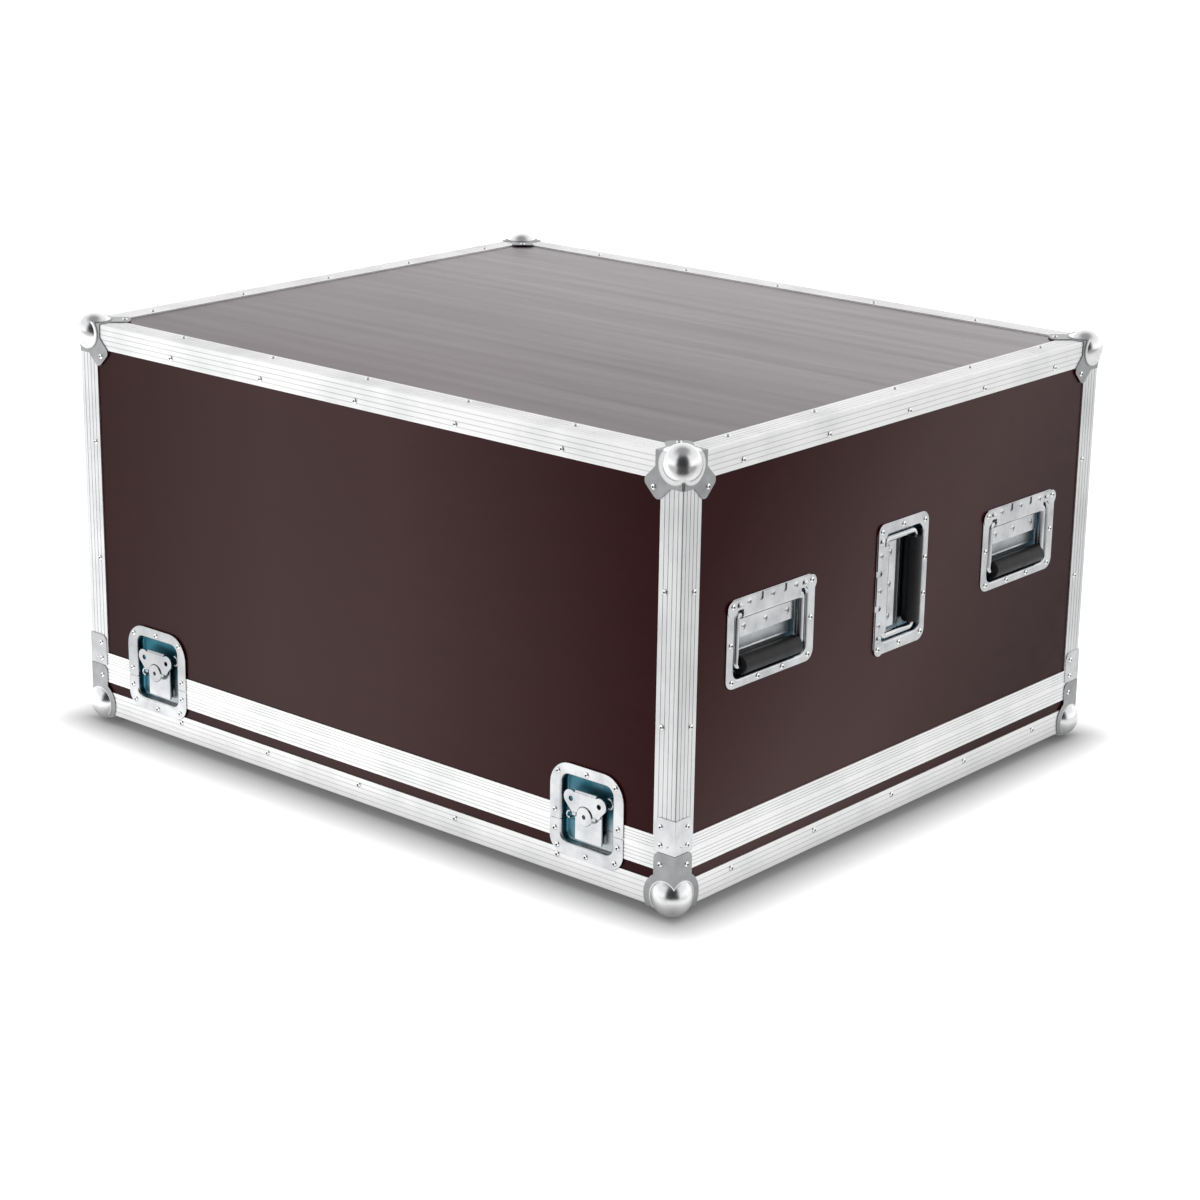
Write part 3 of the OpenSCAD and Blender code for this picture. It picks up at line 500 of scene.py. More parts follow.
def rivet_finish(colours):
    """Aluminium heads with painted shade in their hollow, marked by the head's own attribute."""
    finish = new_finish("rivet_heads", Metallic=1.0)
    pit = finish.pit()
    mark = finish.noise(520, 3)
    worn = finish.clamp(mark, 0.5, 0.75) * 0.5
    base = finish.mix(worn, tuple(colours.rivet), tuple(colours.aluminium_dull_and_shade))
    # Painted shade in the hollow of each head
    base = finish.mix(pit, base, tuple(colours.rivet_pit))
    set_look(finish, base, 0.07 + mark * 0.1 + pit * 0.3, finish.bump(mark, 0.05 * MM, 0.2))


def rubber_finish(colours):
    """Moulded black rubber with a dusty bloom and fine pores."""
    finish = new_finish("moulded_rubber", **{"Specular IOR Level": 0.3})
    pore = finish.noise(1700, 2)
    bloom = finish.clamp(finish.noise(75, 5), 0.45, 0.75)
    base = finish.mix(bloom * 0.5, tuple(colours.rubber), tuple(colours.rubber_bloom))
    roughness = 0.42 + bloom * 0.16 + (pore - 0.5) * 0.2
    set_look(finish, base, roughness, finish.bump(pore, 0.12 * MM, 0.35))


# Mesh helpers


def merged(node):
    """A copy of a CAD node's mesh with its loose triangles joined."""
    mesh = bmesh.new()
    mesh.from_mesh(nodes[node].data)
    bmesh.ops.remove_doubles(mesh, verts=mesh.verts, dist=SAME_POINT)
    return mesh


def flat_faces(mesh):
    """Joins triangles that lie in one plane."""
    bmesh.ops.dissolve_limit(mesh, angle_limit=FLAT, verts=mesh.verts, edges=mesh.edges)
    return mesh


def joined(meshes):
    """One mesh of several, which are used up."""
    whole = bmesh.new()
    for mesh in meshes:
        data = bpy.data.meshes.new("part")
        mesh.to_mesh(data)
        mesh.free()
        whole.from_mesh(data)
        bpy.data.meshes.remove(data)
    return whole


def loft(loops, fill):
    """Faces between closed loops of equally many points, with the last loop filled if asked."""
    mesh = bmesh.new()
    rings = [[mesh.verts.new(point) for point in loop] for loop in loops]
    for low, high in zip(rings, rings[1:]):
        for i in range(len(low)):
            j = (i + 1) % len(low)
            mesh.faces.new((low[i], low[j], high[j], high[i]))
    if fill:
        mesh.faces.new(rings[-1])
    bmesh.ops.recalc_face_normals(mesh, faces=mesh.faces)
    return mesh


def rounded_loop(low, high, r_low, r_high, depth, steps=7):
    """A rectangle with rounded corners in (x, z) at the given depth, from its lower left corner round."""
    corners = [
        (low[0] + r_low, low[1] + r_low, r_low, 180),
        (high[0] - r_low, low[1] + r_low, r_low, 270),
        (high[0] - r_high, high[1] - r_high, r_high, 0),
        (low[0] + r_high, high[1] - r_high, r_high, 90),
    ]
    loop = []
    for x, z, r, start in corners:
        for k in range(steps + 1):
            angle = math.radians(start + 90 * k / steps)
            loop.append((x + r * math.cos(angle), depth, z + r * math.sin(angle)))
    return loop


def to_piece(mesh, name, material, body, replaced, smooth=20):
    """Makes the mesh a piece that rides on its body and stands for CAD nodes."""
    data = bpy.data.meshes.new(name)
    mesh.to_mesh(data)
    mesh.free()
    stored = data.attributes.get("custom_normal")
    if stored:
        data.attributes.remove(stored)
    data.materials.append(material)
    data.shade_smooth()
    data.set_sharp_from_angle(angle=math.radians(smooth))
    piece = bpy.data.objects.new(name, data)
    bpy.context.scene.collection.objects.link(piece)
    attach(piece, body)
    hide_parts(*replaced)


def modified(mesh, kind, settings):
    """The mesh after one modifier."""
    data = bpy.data.meshes.new("work")
    mesh.to_mesh(data)
    mesh.free()
    piece = bpy.data.objects.new("work", data)
    bpy.context.scene.collection.objects.link(piece)
    modifier = piece.modifiers.new(kind.title(), kind)
    for name, value in settings.items():
        setattr(modifier, name, value)
    result = bpy.data.meshes.new_from_object(piece.evaluated_get(bpy.context.evaluated_depsgraph_get()))
    bpy.data.objects.remove(piece)
    bpy.data.meshes.remove(data)
    mesh = bmesh.new()
    mesh.from_mesh(result)
    bpy.data.meshes.remove(result)
    return mesh


def broken_edges(mesh, width):
    """Rounds every sharp edge a little, and clears away the faces that this shrinks to nothing."""
    settings = {
        "width": width, "segments": 2, "limit_method": "ANGLE", "angle_limit": SHARP,
        "use_clamp_overlap": True, "loop_slide": False,
    }
    mesh = modified(mesh, "BEVEL", settings)
    bmesh.ops.dissolve_degenerate(mesh, dist=SAME_POINT, edges=mesh.edges)
    return mesh


def walled(mesh, thickness):
    """Gives an open sheet a wall behind its face."""
    settings = {"thickness": thickness, "offset": -1, "use_even_offset": True}
    return modified(mesh, "SOLIDIFY", settings)


def assign(material, *names):
    """Gives CAD nodes that keep their own shape a finish."""
    for name in names:
        data = nodes[name].data
        data.materials.clear()
        data.materials.append(material)


def finish_of(name):
    material = bpy.data.materials.get(name)
    if material is None:
        raise RuntimeError(f"the finish {name} isn't made yet")
    return material


def latch_frames():
    """The frame of each latch, on the split at the edging's face: X to the right, Y inwards."""
    frames = {}
    for name in LATCHES:
        low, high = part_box(f"latch_hub_{name}")
        back = name.startswith("back")
        turn = Matrix.Rotation(math.pi, 4, "Z") if back else Matrix.Identity(4)
        spot = Vector(((low.x + high.x) / 2, HALF_D if back else -HALF_D, SPLIT_Z))
        frames[name] = Matrix.Translation(spot) @ turn
    return frames


def handle_frames():
    """The frame of each handle, at its dish's middle on the panel's face: X along the hinge, Y inwards."""
    frames = {}
    for name in HANDLES:
        low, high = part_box(f"handle_dish_{name}")
        side = 1 if name.startswith("right") else -1
        spot = Vector((side * PANEL_X, (low.y + high.y) / 2, (low.z + high.z) / 2))
        turn = Matrix.Rotation(side * math.pi / 2, 4, "Z")
        if name.endswith("middle"):
            turn = turn @ Matrix.Rotation(-side * math.pi / 2, 4, "Y")
        frames[name] = Matrix.Translation(spot) @ turn
    return frames


# Pieces


class CASE_OT_finishes(bpy.types.Operator):
    """Makes the procedural finishes"""

    bl_idname = "case.finishes"
    bl_label = "Finishes"

    def execute(self, context):
        colours = context.scene.case_finishes
        latch = Recess(1, HALF_D, LATCH_FLOOR, 0.08, colours.latch_recess_shade, True)
        handle = Recess(0, PANEL_X, HANDLE_FLOOR, 0.95, colours.handle_recess_shade, False)
        film_finish(colours)
        aluminium_finish(colours, "ring")
        aluminium_finish(colours, "upright")
        zinc_finish("latch_zinc", colours, 0.25, recess=latch, painted_left_shade=0.55)
        zinc_finish("handle_zinc", colours, 0.27, recess=handle)
        zinc_finish("zinc_part", colours, 0.19, painted_left_shade=0.55)
        zinc_finish("bright_wire", colours, 0.14)
        ball_finish(colours, context.scene.case_pressings)
        rivet_finish(colours)
        rubber_finish(colours)
        return {"FINISHED"}


class CASE_OT_panels(bpy.types.Operator):
    """Finishes the plywood panels and walls"""

    bl_idname = "case.panels"
    bl_label = "Plywood panels"

    def execute(self, context):
        sides = ("front", "back", "left", "right")
        walls = [f"{part}_wall_{side}" for part in ("tray", "hood") for side in sides]
        assign(finish_of("phenolic_film"), "base_panel", "top_panel", *walls)
        return {"FINISHED"}


def on_arris(edge):
    """True on the outer arrises of the case."""
    if edge.calc_length() < ARRIS_LEAST:
        return False
    for axes in ((0, 1), (0, 2), (1, 2)):
        if all(on_outside(vert.co, axis) for vert in edge.verts for axis in axes):
            return True
    return False


def on_outside(point, axis):
    """True on either of the case's outer faces across an axis."""
    if axis == 2:
        return min(abs(point.z - BASE_Z), abs(point.z - TOP_Z)) < SAME_FACE
    return abs(abs(point[axis]) - (HALF_W, HALF_D)[axis]) < SAME_FACE


class CASE_OT_edging(bpy.types.Operator):
    """Rounds the arrises of the aluminium angles and finishes the rails"""

    bl_idname = "case.edging"
    bl_label = "Aluminium edging"

    def execute(self, context):
        width = context.scene.case_pressings.arris_round
        for node, finish in (("base_angles", "ring"), ("top_angles", "ring"), ("corner_angles", "upright")):
            mesh = flat_faces(merged(node))
            edges = [edge for edge in mesh.edges if on_arris(edge)]
            if not edges:
                raise RuntimeError(f"{node} shows no arris to round")
            bmesh.ops.bevel(mesh, geom=edges, offset=width, segments=3, profile=0.5, affect="EDGES")
            material = finish_of(f"{finish}_aluminium")
            to_piece(mesh, f"rounded_{node}", material, node_body[node], [node], smooth=12)
        assign(finish_of("ring_aluminium"), "tray_rails", "hood_rails")
        return {"FINISHED"}


def corner_ball(corner, inward, radius, inset):
    """A ball on a corner of the case, open where the case fills it."""
    flip = Matrix.Diagonal((*inward, 1))
    lean = Vector((1, 1, 1)).to_track_quat("Z", "Y").to_matrix().to_4x4()
    ball = bmesh.new()
    middle = Matrix.Translation((inset, inset, inset))
    bmesh.ops.create_uvsphere(ball, u_segments=48, v_segments=28, radius=radius, matrix=middle @ lean)
    for axis in range(3):
        normal = Vector((0, 0, 0))
        normal[axis] = 1
        geometry = ball.verts[:] + ball.edges[:] + ball.faces[:]
        bmesh.ops.bisect_plane(ball, geom=geometry, dist=1e-7, plane_co=(0, 0, 0), plane_no=normal)
    inside = [face for face in ball.faces if min(face.calc_center_median()) > 0]
    bmesh.ops.delete(ball, geom=inside, context="FACES")
    ball.transform(Matrix.Translation(corner) @ flip)
    if flip.determinant() < 0:
        bmesh.ops.reverse_faces(ball, faces=ball.faces)
    return ball


def ball_corners(node, z, up, radius, inset, edge):
    """The CAD corners with broken edges, and smooth balls for their faceted ones."""
    signs = [(sx, sy) for sx in (-1, 1) for sy in (-1, 1)]
    centres = [Vector((sx * (HALF_W - inset), sy * (HALF_D - inset), z + up * inset)) for sx, sy in signs]
    mesh = merged(node)
    bmesh.ops.delete(mesh, geom=ball_facets(mesh, centres, radius), context="FACES")
    mesh = broken_edges(flat_faces(mesh), edge)
    wall_cuts(mesh, centres, radius)
    balls = []
    for sx, sy in signs:
        corner = Vector((sx * HALF_W, sy * HALF_D, z))
        balls.append(corner_ball(corner, (-sx, -sy, up), radius, inset))
    return joined([mesh, walled(joined(balls), BALL_WALL)])


def ball_facets(mesh, centres, radius):
    """The faces on the CAD balls' outsides, and those within their walls and on their insides."""
    facets, near = [], 0.05 * MM
    for face in mesh.faces:
        for centre in centres:
            reach = [(vert.co - centre).length for vert in face.verts]
            outside = min(reach) > radius - near and max(reach) < radius + near
            inside = min(reach) > radius - CAD_BALL_WALL - 2 * near and max(reach) < radius - 2 * near
            if outside or inside:
                facets.append(face)
    return facets


def wall_cuts(mesh, centres, radius):
    """Closes each corner's leaves where its ball was taken off, between the outer and the inner rim."""
    for centre in centres:
        rims = []
        for edge in mesh.edges:
            if edge.is_boundary and (edge.verts[0].co - centre).length < 2 * radius:
                rims.append(edge)
        bmesh.ops.bridge_loops(mesh, edges=rims)


class CASE_OT_corners(bpy.types.Operator):
    """Makes the ball corners and the braces at the split"""

    bl_idname = "case.corners"
    bl_label = "Ball corners"

    def execute(self, context):
        pressings = context.scene.case_pressings
        rows = (
            ("top_ball_corners", TOP_Z, -1, pressings.top_ball, pressings.top_inset),
            ("base_ball_corners", BASE_Z, 1, pressings.base_ball, pressings.base_inset),
        )
        steel, zinc = finish_of("polished_steel"), finish_of("zinc_part")
        for node, z, up, radius, inset in rows:
            mesh = ball_corners(node, z, up, radius, inset, pressings.edge_round)
            to_piece(mesh, f"polished_{node}", steel, node_body[node], [node])
        mesh = broken_edges(flat_faces(merged("hood_corner_braces")), pressings.edge_round)
        to_piece(mesh, "bent_corner_braces", zinc, "hood", ["hood_corner_braces"])
        return {"FINISHED"}


def dish_loops(outer, recess, depth, pressings):
    """Loops over the face of a pressed dish, from the flange's edge to the rim of its floor.

    outer and recess are (low, high, lower radius, upper radius) and depth is from the panel to the floor.
    """
    front, edge = -pressings.sheet, pressings.edge_round

    def ring(box, grow, at):
        low, high, r_low, r_high = box
        low, high = (low[0] - grow, low[1] - grow), (high[0] + grow, high[1] + grow)
        return rounded_loop(low, high, r_low + grow, r_high + grow, at)

    loops = [ring(outer, 0, front + edge), ring(outer, -edge, front)]
    draw, bottom = pressings.draw_radius, pressings.floor_radius
    loops.append(ring(recess, draw + edge, front))
    bends = [math.radians(90 * k / BEND_STEPS) for k in range(BEND_STEPS + 1)]
    for bend in bends:
        loops.append(ring(recess, draw * (1 - math.sin(bend)), front + draw * (1 - math.cos(bend))))
    for bend in bends:
        loops.append(ring(recess, -bottom * (1 - math.cos(bend)), depth - bottom * (1 - math.sin(bend))))
    return loops


def latch_half(matrix, upper, pressings):
    """One half of a latch dish, with the hole for the hub's stem in the upper one."""
    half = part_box("latch_dishes")[1].x - LATCH_X
    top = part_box("latch_dishes")[1].z - SPLIT_Z
    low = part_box("latch_keepers")[0].z - SPLIT_Z
    outer = ((-half, low), (half, top), *LATCH_CORNERS)
    loops = dish_loops(outer, LATCH_RECESS, LATCH_FLOOR, pressings)
    if upper:
        ring = []
        for x, y, z in loops[-1]:
            angle = math.atan2(z - HUB_RISE, x)
            ring.append((STEM_HOLE * math.cos(angle), y, HUB_RISE + STEM_HOLE * math.sin(angle)))
        loops.append(ring)
    mesh = loft(loops, fill=not upper)
    geometry = mesh.verts[:] + mesh.edges[:] + mesh.faces[:]
    side = 1 if upper else -1
    spot, normal = (0, 0, side * SPLIT_GAP), (0, 0, -side)
    bmesh.ops.bisect_plane(mesh, geom=geometry, plane_co=spot, plane_no=normal, clear_outer=True)
    face_outwards(mesh)
    mesh.transform(matrix)
    return mesh


def face_outwards(mesh):
    """Turns an open pressing so that its flange looks to -Y."""
    mesh.normal_update()
    widest = max(mesh.faces, key=lambda face: face.calc_area())
    if widest.normal.y > 0:
        bmesh.ops.reverse_faces(mesh, faces=mesh.faces)


def keeper_lips(frames):
    """The bevelled lips that the hooks pull on, taken from the CAD keepers' sizes."""
    lips = []
    for matrix in frames.values():
        mesh = bmesh.new()
        bmesh.ops.create_cube(mesh, size=1)
        mesh.transform(matrix @ Matrix.Translation(LIP_PLACE) @ Matrix.Diagonal((*LIP_SIZE, 1)))
        bmesh.ops.bevel(
            mesh, geom=mesh.edges[:], offset=LIP_BREAK, segments=2, profile=0.5, affect="EDGES"
        )
        lips.append(mesh)
    return lips


def with_pits(mesh, matrix, holes):
    """Breaks the rims of holes along the latch's depth wider, and marks them for painted shade.

    holes are (x, height over the split, radius, width of the rim).
    """
    near = 0.1 * MM
    spots = [(matrix @ Vector((x, 0, z)), radius, rim) for x, z, radius, rim in holes]
    for spot, radius, rim in spots:
        edges = []
        for edge in mesh.edges:
            reach = [(vert.co - spot).xz.length for vert in edge.verts]
            climb = abs(edge.verts[0].co.y - edge.verts[1].co.y)
            if max(reach) < radius + near and min(reach) > radius - near and climb < near / 10:
                edges.append(edge)
        if not edges:
            raise RuntimeError("a hole has no rim")
        bmesh.ops.bevel(mesh, geom=edges, offset=rim, segments=2, profile=0.5, affect="EDGES")
    dark = mesh.faces.layers.float.new("pit")
    for face in mesh.faces:
        for spot, radius, rim in spots:
            if max((vert.co - spot).xz.length for vert in face.verts) < radius + rim * 1.05:
                face[dark] = HOLE_DARK
    return mesh


class CASE_OT_latches(bpy.types.Operator):
    """Presses the split latch dishes and finishes the hubs, wings, hooks and wire"""

    bl_idname = "case.latches"
    bl_label = "Latches"

    def execute(self, context):
        pressings = context.scene.case_pressings
        frames = latch_frames()
        dish = finish_of("latch_zinc")
        for upper, node in ((True, "latch_dishes"), (False, "latch_keepers")):
            halves = [latch_half(matrix, upper, pressings) for matrix in frames.values()]
            mesh = walled(joined(halves), pressings.sheet - SEAT)
            if not upper:
                mesh = joined([mesh, *keeper_lips(frames)])
            to_piece(mesh, f"pressed_{node}", dish, node_body[node], [node], smooth=32)
        part = finish_of("zinc_part")
        for name in LATCHES:
            for kind in ("hub", "wing", "hook"):
                node = f"latch_{kind}_{name}"
                mesh = flat_faces(merged(node))
                if kind in LATCH_HOLES:
                    mesh = with_pits(mesh, frames[name], LATCH_HOLES[kind])
                mesh = broken_edges(mesh, pressings.edge_round)
                to_piece(mesh, f"rounded_{node}", part, node_body[node], [node])
        mesh, wire = merged("latch_staples"), finish_of("bright_wire")
        to_piece(mesh, "round_staples", wire, "hood", ["latch_staples"], smooth=40)
        return {"FINISHED"}


def beaded(mesh, depth):
    """Presses a low bead across the floor of a handle dish, behind the grip."""
    floor = []
    for face in mesh.faces:
        if all(abs(vert.co.y - depth) < SAME_POINT for vert in face.verts):
            floor.append(face)
    half = max(vert.co.x for face in floor for vert in face.verts) - BEAD_FADE
    cuts = [((0, 0, BEAD_PLACE + step * BEAD_STEP), (0, 0, 1)) for step in range(-3, 4)]
    cuts += [((side * half, 0, 0), (1, 0, 0)) for side in (-1, 1)]
    for spot, normal in cuts:
        geometry = list(dict.fromkeys(part for face in floor for part in (face, *face.edges, *face.verts)))
        cut = bmesh.ops.bisect_plane(mesh, geom=geometry, plane_co=spot, plane_no=normal)
        floor = [part for part in cut["geom"] if isinstance(part, bmesh.types.BMFace)]
    for vert in {vert for face in floor for vert in face.verts}:
        step = round(abs(vert.co.z - BEAD_PLACE) / BEAD_STEP)
        if abs(vert.co.x) < half + SAME_POINT and step < 2:
            vert.co.y -= BEAD_RISE * (1 - step / 3)
    return mesh


def dimpled(mesh, frames):
    """Marks the tops of the dimples on the hinge plates for a painted dark reflection and a rougher finish.
    """
    spots = [(step * pitch, height) for pitch, height in DIMPLES for step in (-1, 0, 1)]
    places = [matrix @ Vector((x, 0, height)) for matrix in frames.values() for x, height in spots]
    dull = mesh.faces.layers.float.new("pit")
    for face in mesh.faces:
        middle = face.calc_center_median()
        if any((middle - place).yz.length < DIMPLE_TOP for place in places if place.x * middle.x > 0):
            # The dimple tops take a painted dark reflection
            face[dull] = DIMPLE_DARK
    return mesh


class CASE_OT_handles(bpy.types.Operator):
    """Presses the handle dishes and finishes the hinge plates, bails and grips"""

    bl_idname = "case.handles"
    bl_label = "Handles"

    def execute(self, context):
        pressings = context.scene.case_pressings
        frames = handle_frames()
        low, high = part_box("handle_dish_right_front")
        half_w, half_h = (high.y - low.y) / 2, (high.z - low.z) / 2
        outer = ((-half_w, -half_h), (half_w, half_h), *HANDLE_CORNERS)
        depth = PANEL_X - low.x - pressings.sheet
        dishes = []
        for matrix in frames.values():
            mesh = loft(dish_loops(outer, HANDLE_RECESS, depth, pressings), fill=True)
            face_outwards(mesh)
            beaded(mesh, depth).transform(matrix)
            dishes.append(mesh)
        names = [f"handle_dish_{name}" for name in HANDLES]
        mesh = walled(joined(dishes), pressings.sheet - SEAT)
        dish, part = finish_of("handle_zinc"), finish_of("zinc_part")
        to_piece(mesh, "pressed_handle_dishes", dish, "hood", names, smooth=32)
        mesh = dimpled(merged("handle_hinge_plates"), frames)
        to_piece(mesh, "rolled_hinge_plates", part, "hood", ["handle_hinge_plates"])
        rows = (("bail", "bright_wire", "wire_steel"), ("grip", "moulded_rubber", "rubber_grip"))
        for name in HANDLES:
            for kind, finish, slot in rows:
                node = f"handle_{kind}_{name}"
                material = finish_of(finish)
                to_piece(merged(node), f"round_{node}", material, node_body[node], [node], smooth=50)
        return {"FINISHED"}


def rivet_places(node):
    """Foot, direction and radius of each head in a CAD node of rivets."""
    mesh = merged(node)
    seen = set()
    places = []
    for start in mesh.verts:
        if start in seen:
            continue
        seen.add(start)
        island, todo = [], [start]
        while todo:
            vert = todo.pop()
            island.append(vert.co.copy())
            for edge in vert.link_edges:
                other = edge.other_vert(vert)
                if other not in seen:
                    seen.add(other)
                    todo.append(other)
        low = Vector(min(point[axis] for point in island) for axis in range(3))
        high = Vector(max(point[axis] for point in island) for axis in range(3))
        size, foot = high - low, (low + high) / 2
        axis = min(range(3), key=lambda k: size[k])
        facing = Vector((0, 0, 0))
        middle = MID_Z if axis == 2 else 0
        facing[axis] = 1 if foot[axis] > middle else -1
        foot[axis] = low[axis] if facing[axis] > 0 else high[axis]
        places.append((foot, facing, max(size) / 2))
    mesh.free()
    return places


def rivet_tree(material):
    """Heads on points: each is a disc raised in steps to a dome, with a hollow sunk in its middle."""
    tree = bpy.data.node_groups.new("rivet_heads", "GeometryNodeTree")
    tree.interface.new_socket("Points", in_out="INPUT", socket_type="NodeSocketGeometry")
    for name in ("Head radius", "Head height", "Pit radius", "Pit depth"):
        tree.interface.new_socket(name, in_out="INPUT", socket_type="NodeSocketFloat")
    tree.interface.new_socket("Sides", in_out="INPUT", socket_type="NodeSocketInt")
    tree.interface.new_socket("Heads", in_out="OUTPUT", socket_type="NodeSocketGeometry")
    sheet = NodeSheet(tree)
    given = sheet.add("NodeGroupInput").outputs
    disc = sheet.add(
        "GeometryNodeMeshCircle", {"fill_type": "NGON"},
        {"Vertices": given["Sides"], "Radius": given["Head radius"]},
    ).outputs[0]
    head, top, side = disc, None, None
    shoulder, crown = 0.95, 0.74
    pit_share = sheet.math("DIVIDE", given["Pit radius"], given["Head radius"])
    steps = (
        ("Head height", 0.34, shoulder),
        ("Head height", 0.40, crown / shoulder),
        ("Head height", 0.26, sheet.math("DIVIDE", pit_share, crown)),
        ("Pit depth", -1.0, 0.7),
    )
    for measure, share, shrink in steps:
        lift = sheet.math("MULTIPLY", given[measure], share)
        inputs = {"Mesh": head, "Offset Scale": lift, "Individual": False}
        if top:
            inputs["Selection"] = top
        raised = sheet.add("GeometryNodeExtrudeMesh", {"mode": "FACES"}, inputs)
        top, side = raised.outputs["Top"], raised.outputs["Side"]
        scaled = sheet.add(
            "GeometryNodeScaleElements", {"domain": "FACE"},
            {"Geometry": raised.outputs["Mesh"], "Selection": top, "Scale": shrink},
        )
        head = scaled.outputs[0]
    # The hollow's faces are marked for their painted shade
    hollow = sheet.add("FunctionNodeBooleanMath", {"operation": "OR"}, {0: top, 1: side}).outputs[0]
    marked = sheet.add(
        "GeometryNodeStoreNamedAttribute", {"data_type": "FLOAT", "domain": "FACE"},
        {"Geometry": head, "Selection": hollow, "Name": "pit", "Value": 1.0},
    ).outputs[0]
    foot = sheet.add("GeometryNodeFlipFaces", None, {"Mesh": disc}).outputs[0]
    both = sheet.add("GeometryNodeJoinGeometry")
    for part in (marked, foot):
        tree.links.new(part, both.inputs[0])
    welded = {"Geometry": both.outputs[0], "Distance": SAME_POINT}
    closed = sheet.add("GeometryNodeMergeByDistance", None, welded).outputs[0]
    smooth = sheet.add("GeometryNodeSetShadeSmooth", None, {"Geometry": closed}).outputs[0]
    facing = sheet.add("GeometryNodeInputNamedAttribute", {"data_type": "FLOAT_VECTOR"}, {"Name": "facing"})
    size = sheet.add("GeometryNodeInputNamedAttribute", {"data_type": "FLOAT"}, {"Name": "size"})
    turn = sheet.add("FunctionNodeAlignRotationToVector", {"axis": "Z"}, {"Vector": facing.outputs[0]})
    placed = sheet.add(
        "GeometryNodeInstanceOnPoints", None,
        {
            "Points": given["Points"], "Instance": smooth,
            "Rotation": turn.outputs[0], "Scale": size.outputs[0],
        },
    )
    solid = sheet.add("GeometryNodeRealizeInstances", None, {"Geometry": placed.outputs[0]}).outputs[0]
    dressed = sheet.add("GeometryNodeSetMaterial", None, {"Geometry": solid, "Material": material})
    sheet.add("NodeGroupOutput", None, {"Heads": dressed.outputs[0]})
    return tree


class CASE_OT_rivets(bpy.types.Operator):
    """Sets a domed rivet with a hollow wherever the CAD has one"""

    bl_idname = "case.rivets"
    bl_label = "Rivets"

    def execute(self, context):
        sizes = context.scene.case_rivets
        material = finish_of("rivet_heads")
        tree = rivet_tree(material)
        values = {
            "Head radius": sizes.head_radius,
            "Head height": sizes.head_height,
            "Pit radius": sizes.pit_radius,
            "Pit depth": sizes.pit_depth,
            "Sides": sizes.sides,
        }
        for node in ("tray_rivets", "hood_rivets"):
            places = rivet_places(node)
            data = bpy.data.meshes.new(f"{node}_points")
            data.from_pydata([foot for foot, _, _ in places], [], [])
            data.attributes.new("facing", "FLOAT_VECTOR", "POINT")
            data.attributes.new("size", "FLOAT", "POINT")
            for i, (_, direction, radius) in enumerate(places):
                data.attributes["facing"].data[i].vector = direction
                data.attributes["size"].data[i].value = radius / sizes.head_radius
            piece = bpy.data.objects.new(f"domed_{node}", data)
            context.scene.collection.objects.link(piece)
            modifier = piece.modifiers.new("Rivet heads", "NODES")
            modifier.node_group = tree
            for item in tree.interface.items_tree:
                if item.name in values and item.in_out == "INPUT":
                    modifier[item.identifier] = values[item.name]
            graph = context.evaluated_depsgraph_get()
            heads = bpy.data.meshes.new_from_object(piece.evaluated_get(graph))
            if not heads.polygons:
                raise RuntimeError(f"{node} came out empty")
            piece.modifiers.remove(modifier)
            piece.data = heads
            bpy.data.meshes.remove(data)
            heads.set_sharp_from_angle(angle=math.radians(50))
            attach(piece, node_body[node])
            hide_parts(node)
        return {"FINISHED"}


# Stage


def floor_finish(reach):
    """White table that keeps the shadow and deepens it with a painted shadow round the footprint.

    In gloss it darkens away from the case and towards its front edge, and near the case with that painted
    shadow.
    """
    material = bpy.data.materials.new("white_floor")
    material.use_nodes = True
    finish = Finish(material.node_tree)
    x, y, _ = finish.axes()
    out_x = finish.math("MAXIMUM", abs(x) - HALF_W, 0.0)
    out_y = finish.math("MAXIMUM", abs(y) - HALF_D, 0.0)
    away = finish.math("SQRT", out_x * out_x + out_y * out_y)
    # clear fades the camera's lift and the gloss near the case: a painted shadow round the footprint, added
    # to the real one
    clear = finish.clamp(away, 0.0, reach)
    toward = x * FRONT_X + y * FRONT_Y
    aside = abs(y * FRONT_X - x * FRONT_Y - 0.1) - (toward - 0.61) * 0.5
    far, front = finish.clamp(away, 0.25, 1.0), finish.clamp(toward, 0.6, 1.1)
    left = finish.clamp(x + y, 1.2, -1.0)
    dim = front * (0.93 - finish.clamp(aside, 0.0, 0.3) * 0.38)
    gloss = (1.2 - far * 0.06) * (1 - dim) * (0.84 + left * 0.46) * (0.25 + clear * 0.75)
    seen = finish.add("ShaderNodeLightPath").outputs
    paper = finish.add("ShaderNodeBsdfDiffuse", None, {"Color": (0.60, 0.60, 0.60)})
    shown = Num(finish, seen["Is Camera Ray"]) * clear * 0.77
    lift = finish.add("ShaderNodeEmission", None, {"Strength": shown})
    lit = finish.add("ShaderNodeAddShader", None, {0: paper.outputs[0], 1: lift.outputs[0]})
    mirrored = finish.add("ShaderNodeEmission", None, {"Strength": gloss})
    table = finish.add(
        "ShaderNodeMixShader", None, {0: seen["Is Glossy Ray"], 1: lit.outputs[0], 2: mirrored.outputs[0]}
    )
    finish.add("ShaderNodeOutputMaterial", None, {"Surface": table.outputs[0]})
    return material


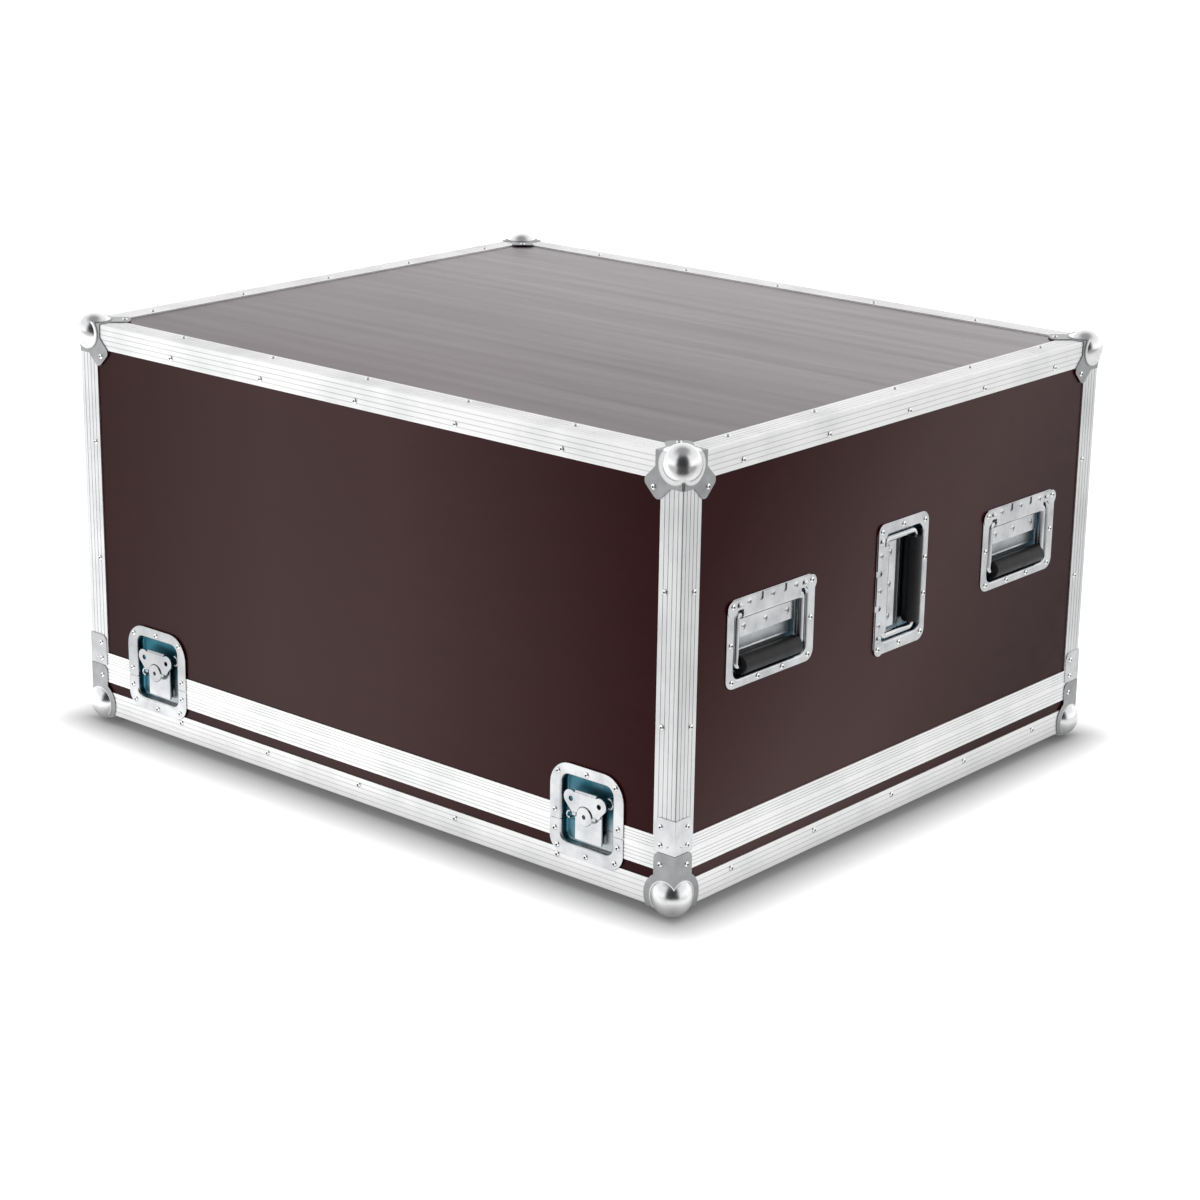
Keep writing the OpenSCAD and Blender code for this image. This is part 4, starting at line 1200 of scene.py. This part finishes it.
def surround(world, strength):
    """White to the camera.

    For light and gloss it is a pale room with a dark gap at the front and a grey ceiling.
    """
    world.use_nodes = True
    finish = Finish(world.node_tree)
    direction = finish.add("ShaderNodeTexCoord").outputs["Generated"]
    split = finish.add("ShaderNodeSeparateXYZ", None, {0: direction})
    x, y, z = (Num(finish, split.outputs[i]) for i in range(3))
    flat = finish.math("SQRT", x * x + y * y + 0.0001)
    toward = finish.math("DIVIDE", x * FRONT_X + y * FRONT_Y, flat)
    gap = finish.clamp(toward, 0.70, 0.86)
    ceiling = finish.clamp(z, 0.72, 0.95)
    room = finish.mix(finish.clamp(z, 0.3, 0.5), (1, 1, 1), (0.8, 0.8, 0.8))
    room = finish.mix(gap, room, (0.03, 0.03, 0.033))
    room = finish.mix(ceiling, room, (0.27, 0.27, 0.275))
    lit = finish.add("ShaderNodeBackground", None, {"Color": room, "Strength": strength})
    white = finish.add("ShaderNodeBackground", None, {"Color": (1, 1, 1), "Strength": 1.0})
    seen = finish.add("ShaderNodeLightPath").outputs["Is Camera Ray"]
    mixed = finish.add("ShaderNodeMixShader", None, {0: seen, 1: lit.outputs[0], 2: white.outputs[0]})
    finish.add("ShaderNodeOutputWorld", None, {"Surface": mixed.outputs[0]})


class CASE_OT_stage(bpy.types.Operator):
    """Sets the floor, the soft light, the surround and the camera"""

    bl_idname = "case.stage"
    bl_label = "Stage"

    def execute(self, context):
        scene, settings = context.scene, context.scene.case_stage
        mesh = bmesh.new()
        bmesh.ops.create_circle(mesh, cap_ends=True, segments=96, radius=FLOOR_RADIUS)
        data = bpy.data.meshes.new("floor")
        mesh.to_mesh(data)
        mesh.free()
        data.transform(Matrix.Translation((0, 0, cad_box[0][2] - FLOOR_DROP)))
        data.materials.append(floor_finish(settings.shadow_reach))
        floor = bpy.data.objects.new("floor", data)
        scene.collection.objects.link(floor)
        lamp = bpy.data.lights.new("overhead", "AREA")
        lamp.shape = "RECTANGLE"
        lamp.size, lamp.size_y = LAMP_SIZE
        lamp.energy = settings.key
        overhead = bpy.data.objects.new("overhead", lamp)
        overhead.matrix_world = Matrix.Translation(LAMP_PLACE)
        overhead.visible_glossy = False
        scene.collection.objects.link(overhead)
        world = bpy.data.worlds.new("surround")
        surround(world, settings.surround)
        scene.world = world
        camera = bpy.data.objects.new("camera", bpy.data.cameras.new("camera"))
        camera.data.lens = settings.lens
        camera.data.sensor_width = SENSOR
        turn = Matrix.Rotation(settings.azimuth, 4, "Z")
        tilt = Matrix.Rotation(math.pi / 2 - settings.elevation, 4, "X")
        lean = Matrix.Rotation(settings.roll, 4, "Z")
        camera.matrix_world = Matrix.Translation(settings.camera_place) @ turn @ tilt @ lean
        scene.collection.objects.link(camera)
        scene.camera = camera
        scene.view_settings.view_transform = "Standard"
        return {"FINISHED"}


class CASE_PT_sidebar(bpy.types.Panel):
    """Lists the steps that dress the case"""

    bl_idname = "CASE_PT_sidebar"
    bl_label = "Road case"
    bl_space_type = "VIEW_3D"
    bl_region_type = "UI"
    bl_category = "Road case"

    def draw(self, context):
        for step in STEPS:
            self.layout.operator(step.bl_idname)
        for group in GROUPS.values():
            settings = getattr(context.scene, group)
            for name in settings.bl_rna.properties.keys():
                if name not in ("rna_type", "name"):
                    self.layout.prop(settings, name)


STEPS = (
    CASE_OT_stage, CASE_OT_finishes, CASE_OT_panels, CASE_OT_edging, CASE_OT_corners, CASE_OT_latches,
    CASE_OT_handles, CASE_OT_rivets,
)
GROUPS = {
    CaseFinishes: "case_finishes", CasePressings: "case_pressings", CaseRivets: "case_rivets",
    CaseStage: "case_stage",
}


def register():
    for group, name in GROUPS.items():
        bpy.utils.register_class(group)
        setattr(bpy.types.Scene, name, PointerProperty(type=group))
    for step in STEPS:
        bpy.utils.register_class(step)
    bpy.utils.register_class(CASE_PT_sidebar)


def unregister():
    bpy.utils.unregister_class(CASE_PT_sidebar)
    for step in reversed(STEPS):
        bpy.utils.unregister_class(step)
    for group, name in GROUPS.items():
        delattr(bpy.types.Scene, name)
        bpy.utils.unregister_class(group)


def main():
    register()
    bpy.ops.case.stage()
    bpy.ops.case.finishes()
    bpy.ops.case.panels()
    bpy.ops.case.edging()
    bpy.ops.case.corners()
    bpy.ops.case.latches()
    bpy.ops.case.handles()
    bpy.ops.case.rivets()


if __name__ == "__main__":
    main()
